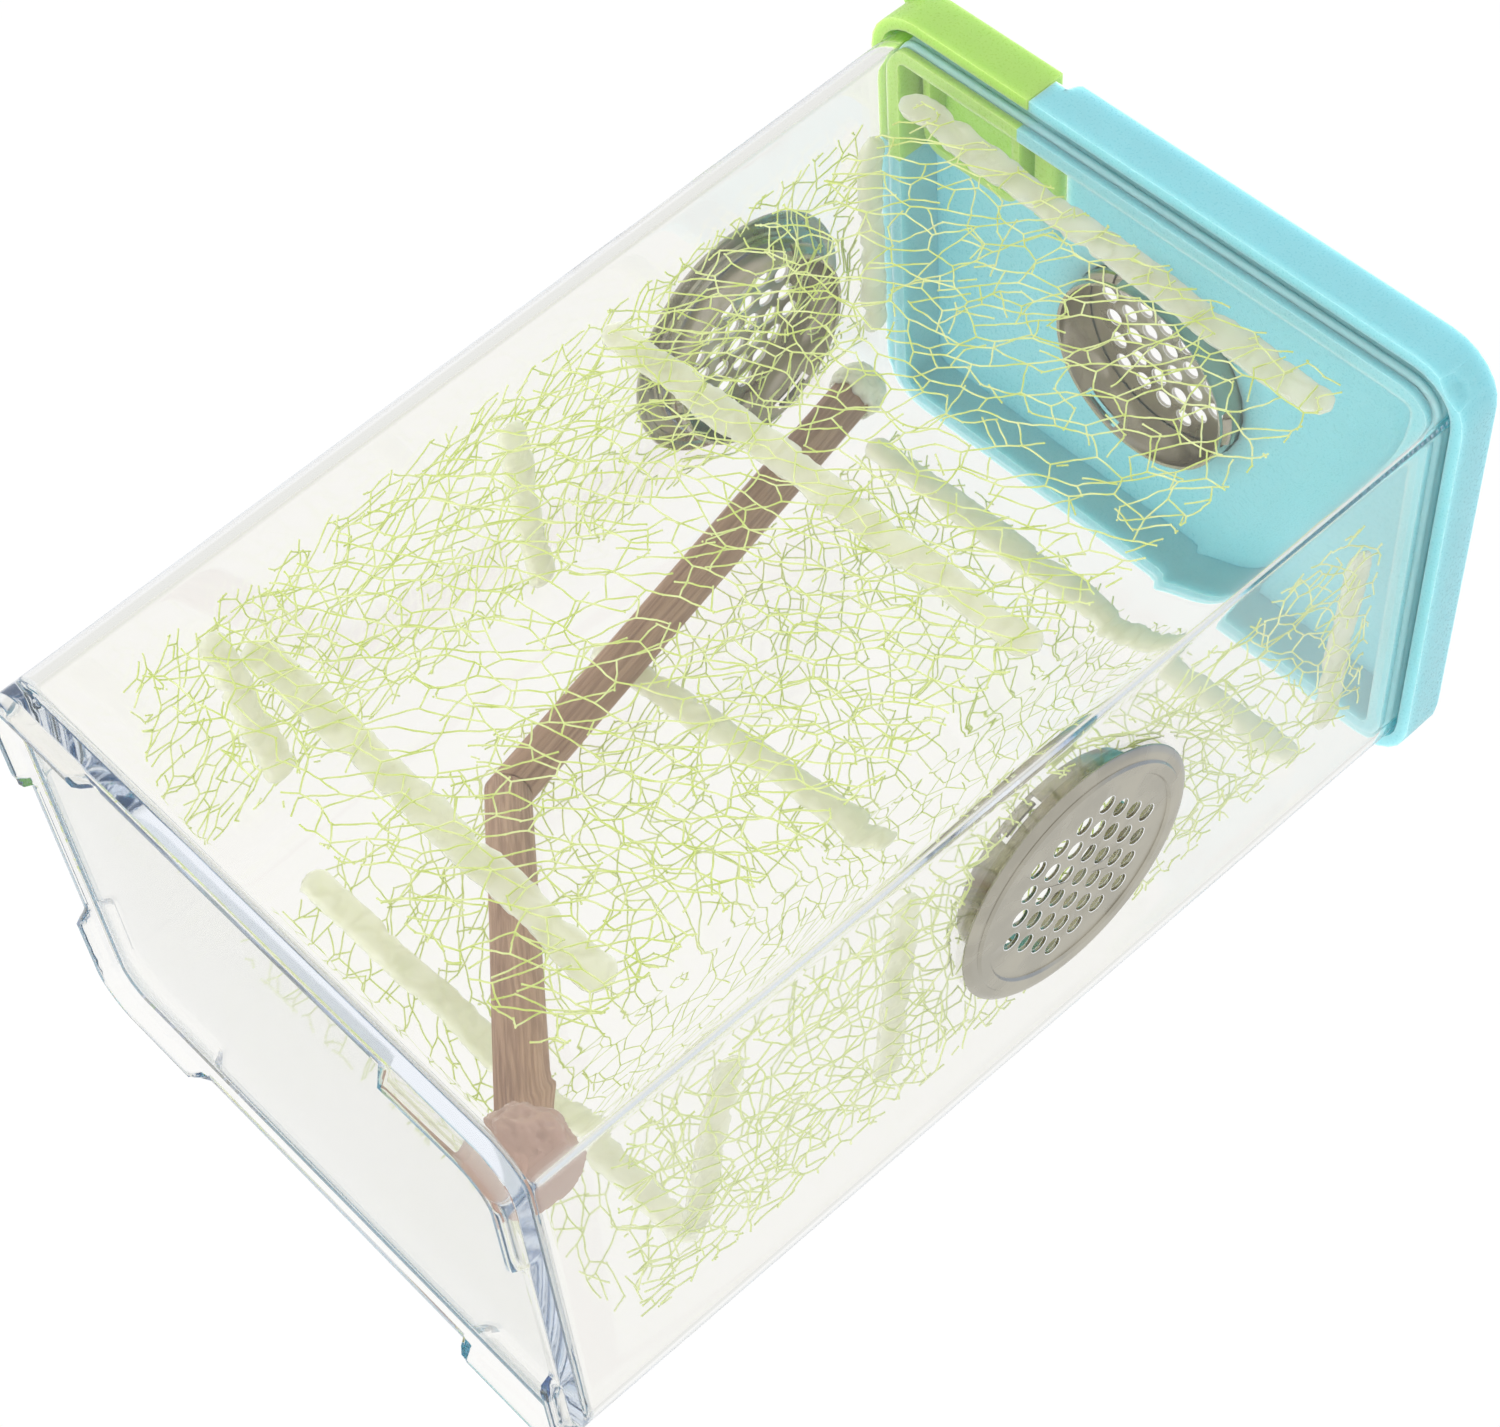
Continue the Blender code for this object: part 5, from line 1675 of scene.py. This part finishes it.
@dataclass
class GlueStrip:
    """One squeezed strip of hot glue over the net."""

    side: Side
    level: str
    margins: tuple[float, float, float, float]
    seed: int
    sizes: BoxSizes = SIZES
    width: float = 5 * MM
    thickness: float = 1.8 * MM
    net_layer: float = 1.4 * MM
    notch: float = 0.7 * MM
    notches: int = 7
    station: float = 0.8 * MM
    section: int = 14
    wander: float = 0.55 * MM
    roughness: float = 0.3 * MM

    def build(self) -> bpy.types.Object:
        """Build the strip along its own slightly wandering line.

        Returns:
            The piece.
        """
        sizes = self.sizes
        first, second, first_height, second_height = self.margins
        run = self.side.sign * (2 * sizes.half(self.side) - first - second)
        rise = second_height - first_height
        height = sizes.floor_z + (first_height + second_height) / 2
        if self.level == "high":
            rise = -rise
            height = sizes.plug_z - (first_height + second_height) / 2
        length = math.hypot(run, rise)
        stations = round(length / self.station)
        rings = []
        notches = [
            (noise.noise(Vector((turn * 3.7, self.seed * 1.9, 0.4))), turn % 2)
            for turn in range(self.notches)
        ]
        for station in range(stations + 1):
            share = station / stations
            along = (share - 0.5) * length
            from_end = min(share, 1 - share) * length
            half = self.width / 2
            taper = math.sqrt(max(0.0, 1 - (1 - min(from_end / half, 1.0)) ** 2))
            swell = 1 + 0.22 * noise.noise(Vector((along * 170, self.seed * 5.7, 1.3)))
            swell += 0.10 * noise.noise(Vector((along * 520, self.seed * 2.7, 8.1)))
            drift = self.wander * noise.noise(Vector((along * 110, self.seed * 9.1, 4.4)))
            half *= max(taper, 0.12) * swell
            crown = self.thickness * max(taper, 0.25)
            crown *= 0.9 + 0.16 * noise.noise(Vector((along * 260, self.seed * 3.3, 6.6)))
            crown = min(crown, self.thickness)
            ring = []
            for index in range(self.section):
                angle = math.pi * index / (self.section - 1)
                across = half * math.cos(angle)
                edge = self.roughness * noise.noise(Vector((along * 700, index * 0.9, self.seed)))
                for spot, far in notches:
                    if far == (index < self.section / 2):
                        away = (along - spot * 0.9 * length) / self.notch
                        edge -= self.notch * math.exp(-(away**2)) * math.cos(angle)
                rise_here = crown * max(0.0, math.sin(angle)) ** 0.7
                ring.append((along, drift + across + edge * abs(math.cos(angle)), -rise_here))
            rings.append(ring)
        name = f"glue_strip_{self.side.label}_{self.level}"
        strip = place_piece(name, loft(name, rings, crease=80.0))
        tilt = math.atan2(rise, run)
        middle = (first - second) / 2
        frame = sizes.wall_frame(self.side, middle, height)
        off = Matrix.Translation((0, 0, -sizes.wall - self.net_layer))
        strip.data.transform(frame @ off @ Matrix.Rotation(tilt, 4, "Z"))
        return settle(strip, "box", [f"glue_{self.side.label}_{self.level}"], MILKY)


@dataclass
class Perch:
    """Two mitred twigs and the glue that holds their ends."""

    GRAIN = "grain"

    sizes: BoxSizes = SIZES
    radius: float = 3.7 * MM
    sides: int = 40
    station: float = 1.1 * MM
    mitre_share: float = 1.2
    mitre_gap: float = 0.05 * MM
    socket_sides: int = 48
    foot_from_floor: float = 0.8 * MM
    foot_from_right: float = 1.4 * MM
    foot_from_front: float = 4.9 * MM
    joint_height: float = 58.3 * MM
    joint_from_left: float = 22.2 * MM
    joint_from_net: float = 0.8 * MM
    top_drop: float = 13.8 * MM
    top_from_back: float = 14 * MM
    lump_offset: float = 1.75 * MM
    foot_glue: float = 6.6 * MM
    top_glue: float = 5.0 * MM

    def __post_init__(self) -> None:
        """Work out the sticks' line from the box's sizes, as the CAD does."""
        sizes = self.sizes
        foot_z = sizes.floor_z + self.foot_from_floor + self.radius
        inside = sizes.wall + sizes.inset(foot_z) + self.radius
        foot_x = sizes.width / 2 - inside - self.foot_from_right
        self.foot = Vector((foot_x, self.foot_from_front + inside - sizes.depth / 2, foot_z))
        joint_z = sizes.floor_z + self.joint_height
        joint_wall = sizes.depth / 2 - sizes.inset(joint_z) - sizes.wall
        joint_y = joint_wall - 3 * sizes.gap - self.joint_from_net - self.radius
        self.joint = Vector((self.joint_from_left - sizes.width / 2, joint_y, joint_z))
        top_z = sizes.plug_z - self.top_drop
        top_wall = sizes.width / 2 - sizes.inset(top_z) - sizes.wall
        top_x = 2 * sizes.gap + self.radius - top_wall
        self.top = Vector((top_x, sizes.depth / 2 - self.top_from_back, top_z))

    def stick(
        self, name: str, node: str, ends: tuple[Vector, Vector], cuts: tuple[Vector, Vector], seed: int
    ) -> bpy.types.Object:
        """Build one stick: flattened, a little knotty, its ends cut on planes.

        Args:
            name: The piece's name.
            node: The CAD node that it replaces.
            ends: Both ends of its middle line.
            cuts: The normals of the planes that cut them.
            seed: Which unevenness.

        Returns:
            The piece.
        """
        start, end = ends
        axis = (end - start).normalized()
        side = axis.orthogonal().normalized()
        up = axis.cross(side)
        length = (end - start).length
        stations = round(length / self.station)
        bm = bmesh.new()
        grain = bm.verts.layers.float_vector.new(self.GRAIN)
        loops = []
        for station in range(stations + 1):
            share = station / stations
            along = share * length
            loop = []
            for index in range(self.sides):
                angle = math.tau * index / self.sides
                around = Vector((math.cos(angle), math.sin(angle), 0))
                ridge = noise.noise(Vector((around.x * 1.3, around.y * 1.3, along * 26 + seed * 9)))
                line = noise.noise(Vector((around.x * 7, around.y * 7, along * 9 + seed * 5)))
                radius = self.radius * (0.96 + 0.05 * ridge + 0.025 * line)
                radius = min(radius, self.radius)
                point = start + axis * along + (side * around.x + up * around.y) * radius
                if station == 0:
                    point -= axis * ((point - start).dot(cuts[0]) / axis.dot(cuts[0]))
                if station == stations:
                    point -= axis * ((point - end).dot(cuts[1]) / axis.dot(cuts[1]))
                vert = bm.verts.new(point)
                vert[grain] = Vector((around.x * radius, around.y * radius, along + seed))
                loop.append(vert)
            loops.append(loop)
        mitre_reach = self.radius * self.mitre_share
        for number, loop in enumerate(loops[1:-1], 1):
            along = number / stations * length
            for vert in loop:
                for plane, anchor, sign in ((cuts[0], start, 1), (cuts[1], end, -1)):
                    if min(along, length - along) > mitre_reach:
                        continue
                    over = (vert.co - anchor).dot(plane) * sign
                    if over < self.mitre_gap:
                        vert.co -= axis * ((over - self.mitre_gap) * sign / axis.dot(plane))
        for lower, upper in zip(loops, loops[1:]):
            for index in range(self.sides):
                after = (index + 1) % self.sides
                bm.faces.new((lower[index], lower[after], upper[after], upper[index]))
        bm.faces.new(loops[0])
        bm.faces.new(loops[-1])
        piece = place_piece(name, close_mesh(bm, name, 50.0))
        return settle(piece, "box", [node], TWIG)

    def lump(
        self, name: str, node: str, end: Vector, outward: Vector, size: float, finish: Finish, slot: str
    ) -> bpy.types.Object:
        """Build one lump of glue: folded over itself, flat where it meets the walls.

        Args:
            name: The piece's name.
            node: The CAD node that it replaces.
            end: The stick's end.
            outward: The way that the end points.
            size: The lump's radius.
            finish: Its finish.
            slot: The record's slot; not used.

        Returns:
            The piece.
        """
        sizes = self.sizes
        centre = end + outward * self.lump_offset
        bm = bmesh.new()
        bmesh.ops.create_icosphere(bm, subdivisions=5, radius=size * 0.97)
        for vert in bm.verts:
            way = vert.co.normalized()
            fold = noise.noise(way * 2.1 + Vector((size * 900, 0, 0)))
            wrinkle = abs(noise.noise(way * 5.0 + Vector((0, size * 700, 3.0))))
            vert.co = way * min(size, size * (0.95 + 0.10 * fold - 0.12 * wrinkle)) + centre
        lump = place_piece(name, close_mesh(bm, name, 60.0))
        inside = []
        for height in (sizes.floor_z + sizes.gap, sizes.mouth_z):
            inset = sizes.wall + sizes.gap + sizes.inset(height)
            outline = rounded_outline(
                sizes.width / 2 - inset, sizes.depth / 2 - inset, sizes.corner - sizes.wall - sizes.gap, 12
            )
            inside.append(at_height(outline, height))
        mouth = end + outward * sizes.gap
        deep_end = end - outward * 4 * size
        socket = rod(f"{name}_socket", self.radius + sizes.gap / 2, mouth, deep_end, self.socket_sides)
        carve(lump, [("INTERSECT", loft(f"{name}_room", inside)), ("DIFFERENCE", socket)], 60.0)
        return settle(lump, "box", [node], finish)

    def build(self) -> None:
        """Build both sticks and both lumps."""
        gap = self.sizes.gap
        lower_axis = (self.joint - self.foot).normalized()
        upper_axis = (self.top - self.joint).normalized()
        mitre = (lower_axis + upper_axis).normalized()
        below = (self.foot, self.joint - mitre * gap / 2)
        above = (self.joint + mitre * gap / 2, self.top)
        self.stick("twig_lower", "stick_lower", below, (lower_axis, mitre), 1)
        self.stick("twig_upper", "stick_upper", above, (mitre, upper_axis), 2)
        self.lump("foot_glue", "glue_perch_foot", self.foot, -lower_axis, self.foot_glue, BROWN, "brown_glue")
        self.lump("top_glue", "glue_perch_top", self.top, upper_axis, self.top_glue, MILKY, "glue")


@dataclass
class Studio:
    """Camera, light and floor."""

    LIGHTS = (
        ("overhead_light", (-0.2, -0.15, 1.0), 2.8),
        ("front_light", (-0.15, -1.0, 0.15), 0.25),
        ("right_light", (1.0, -0.15, -0.05), 0.45),
        ("back_light", (0.1, 1.0, 0.2), 1.2),
        ("left_light", (-1.0, 0.1, 0.1), 1.0),
        ("low_fill", (0.12, -0.15, -1.0), 2.5),
    )

    target: Vector = field(default_factory=lambda: Vector((0.00061, 0.00166, 0.08559)))
    azimuth: float = 29.466
    elevation: float = -21.459
    distance: float = 0.45016
    roll: float = 51.285
    lens: float = 76.17
    floor_half: float = 4.0
    light_spread: float = 70.0
    light_bounces: int = 128
    around_colour: Colour = (0.84, 0.845, 0.825)
    overhead_colour: Colour = (0.56, 0.64, 0.80)
    behind_colour: Colour = (1.01, 1.01, 1.01)

    def back(self) -> Vector:
        """The way from what the camera looks at to the camera."""
        turn, tilt = math.radians(self.azimuth), math.radians(self.elevation)
        return Vector((math.sin(turn) * math.cos(tilt), -math.cos(turn) * math.cos(tilt), math.sin(tilt)))

    def camera(self) -> None:
        """Make the camera at the photograph's viewing angle."""
        data = bpy.data.cameras.new("photo_camera")
        data.lens = self.lens
        data.sensor_width = 36.0
        data.sensor_fit = "HORIZONTAL"
        data.clip_start = 0.01
        data.clip_end = 20.0
        camera = bpy.data.objects.new("photo_camera", data)
        bpy.context.scene.collection.objects.link(camera)
        way = (-self.back()).to_track_quat("-Z", "Y").to_matrix()
        tilted = way @ Matrix.Rotation(math.radians(self.roll), 3, "Z")
        camera.matrix_world = Matrix.Translation(self.target + self.back() * self.distance) @ tilted.to_4x4()
        bpy.context.scene.camera = camera

    def soft_sun(self, name: str, way: Vector, strength: float) -> None:
        """Make one wide soft light that lights surfaces but leaves no bright patch in the clear walls.

        Args:
            name: Its name.
            way: The way from the box to it.
            strength: Its strength.
        """
        data = bpy.data.lights.new(name, "SUN")
        data.energy = strength
        data.angle = math.radians(self.light_spread)
        lamp = bpy.data.objects.new(name, data)
        bpy.context.scene.collection.objects.link(lamp)
        lamp.rotation_euler = (-way).to_track_quat("-Z", "Y").to_euler()
        lamp.visible_glossy = False
        lamp.visible_transmission = False

    def world(self) -> None:
        """Make a pale surround, brightest behind the box and greyer overhead."""
        world = bpy.data.worlds.new("pale_studio")
        world.use_nodes = True
        graph = Graph(world.node_tree)
        way = graph.node("ShaderNodeTexCoord", output="Generated")
        height = way.part("Z")
        forward = graph.node(
            "ShaderNodeVectorMath", {"operation": "DOT_PRODUCT"}, {0: way, 1: tuple(-self.back())}, "Value"
        )
        bright = forward.ramp(0.80, 0.93)
        overhead = height.ramp(0.5, 0.95)
        around = graph.blend(overhead, self.around_colour, self.overhead_colour)
        colour = graph.blend(bright, around, self.behind_colour)
        light = graph.node("ShaderNodeBackground", {}, {"Color": colour, "Strength": 1.0})
        graph.node("ShaderNodeOutputWorld", {}, {"Surface": light})
        bpy.context.scene.world = world

    def floor(self) -> None:
        """Make the floor under the box."""
        half = self.floor_half
        mesh = bpy.data.meshes.new("studio_floor")
        corners = [(-half, -half, 0), (half, -half, 0), (half, half, 0), (-half, half, 0)]
        mesh.from_pydata(corners, [], [(0, 1, 2, 3)])
        floor = place_piece("studio_floor", mesh, FLOOR)
        floor.visible_glossy = False

    def build(self) -> None:
        """Make everything that isn't the object."""
        self.camera()
        self.world()
        self.floor()
        for name, way, strength in self.LIGHTS:
            self.soft_sun(name, Vector(way), strength)
        scene = bpy.context.scene
        scene.view_settings.view_transform = "Standard"
        scene.cycles.max_bounces = self.light_bounces
        scene.cycles.glossy_bounces = self.light_bounces
        scene.cycles.transmission_bounces = self.light_bounces
        scene.cycles.transparent_max_bounces = self.light_bounces


NET_MARGINS = {
    Side.FRONT: (16 * MM, 12 * MM, 12 * MM, 5.3 * MM),
    Side.BACK: (10 * MM, 12 * MM, 14 * MM, 7.3 * MM),
    Side.LEFT: (16 * MM, 20 * MM, 13 * MM, 5.3 * MM),
    Side.RIGHT: (16 * MM, 19 * MM, 12 * MM, 7.3 * MM),
}

GLUE_MARGINS = {
    Side.FRONT: {
        "low": (21 * MM, 14.5 * MM, 25.5 * MM, 24 * MM),
        "middle": (14 * MM, 12 * MM, 94.5 * MM, 95.5 * MM),
        "high": (12.5 * MM, 11.5 * MM, 5.8 * MM, 9.3 * MM),
    },
    Side.BACK: {
        "low": (9.5 * MM, 14 * MM, 28.5 * MM, 29 * MM),
        "middle": (8.5 * MM, 38 * MM, 87.5 * MM, 94 * MM),
        "high": (9 * MM, 9 * MM, 12.3 * MM, 11.8 * MM),
    },
    Side.LEFT: {
        "low": (19.5 * MM, 23.5 * MM, 27 * MM, 31.5 * MM),
        "middle": (22 * MM, 22 * MM, 81.5 * MM, 82.5 * MM),
        "high": (18.5 * MM, 21.5 * MM, 4.8 * MM, 5.3 * MM),
    },
    Side.RIGHT: {
        "low": (19.5 * MM, 28 * MM, 32.5 * MM, 23 * MM),
        "middle": (16.5 * MM, 25.5 * MM, 63 * MM, 58 * MM),
        "high": (25 * MM, 19 * MM, 10.3 * MM, 13.3 * MM),
    },
}


def main() -> None:
    """Build every piece in order."""
    logging.basicConfig(level=logging.INFO, format="%(name)s %(message)s", stream=sys.stdout)
    # Unseeded, the vector noise starts from the clock and each run gives another net.
    noise.seed_set(NOISE_SEED)
    Studio().build()
    Canister().build()
    Refined("lid_frame", 0.25 * MM).build("blue_lid", "lid", "lid", BLUE)
    Refined("corner_flap", 0.25 * MM).build("green_flap", "flap", "flap", GREEN)
    Seal().build()
    Vent("vent_right", "box", SIZES.wall_frame(Side.RIGHT, *SIZES.right_vent), 158.0, SIZES.wall).build()
    Vent("vent_left", "box", SIZES.wall_frame(Side.LEFT, *SIZES.left_vent), 113.0, SIZES.wall).build()
    lid_frame = Matrix.Translation((*SIZES.lid_vent, SIZES.top_z))
    Vent("vent_lid", "lid", lid_frame, 74.0, SIZES.lid_plate).build()
    vents = {Side.RIGHT: SIZES.right_vent, Side.LEFT: SIZES.left_vent}
    for seed, (side, margins) in enumerate(NET_MARGINS.items()):
        NetPanel(side, margins, vents.get(side), seed).build()
    for side, strips in GLUE_MARGINS.items():
        for seed, (level, margins) in enumerate(strips.items()):
            GlueStrip(side, level, margins, seed + 3 * side.value[0] + 7 * side.value[1]).build()
    Perch().build()


if __name__ == "__main__":
    main()
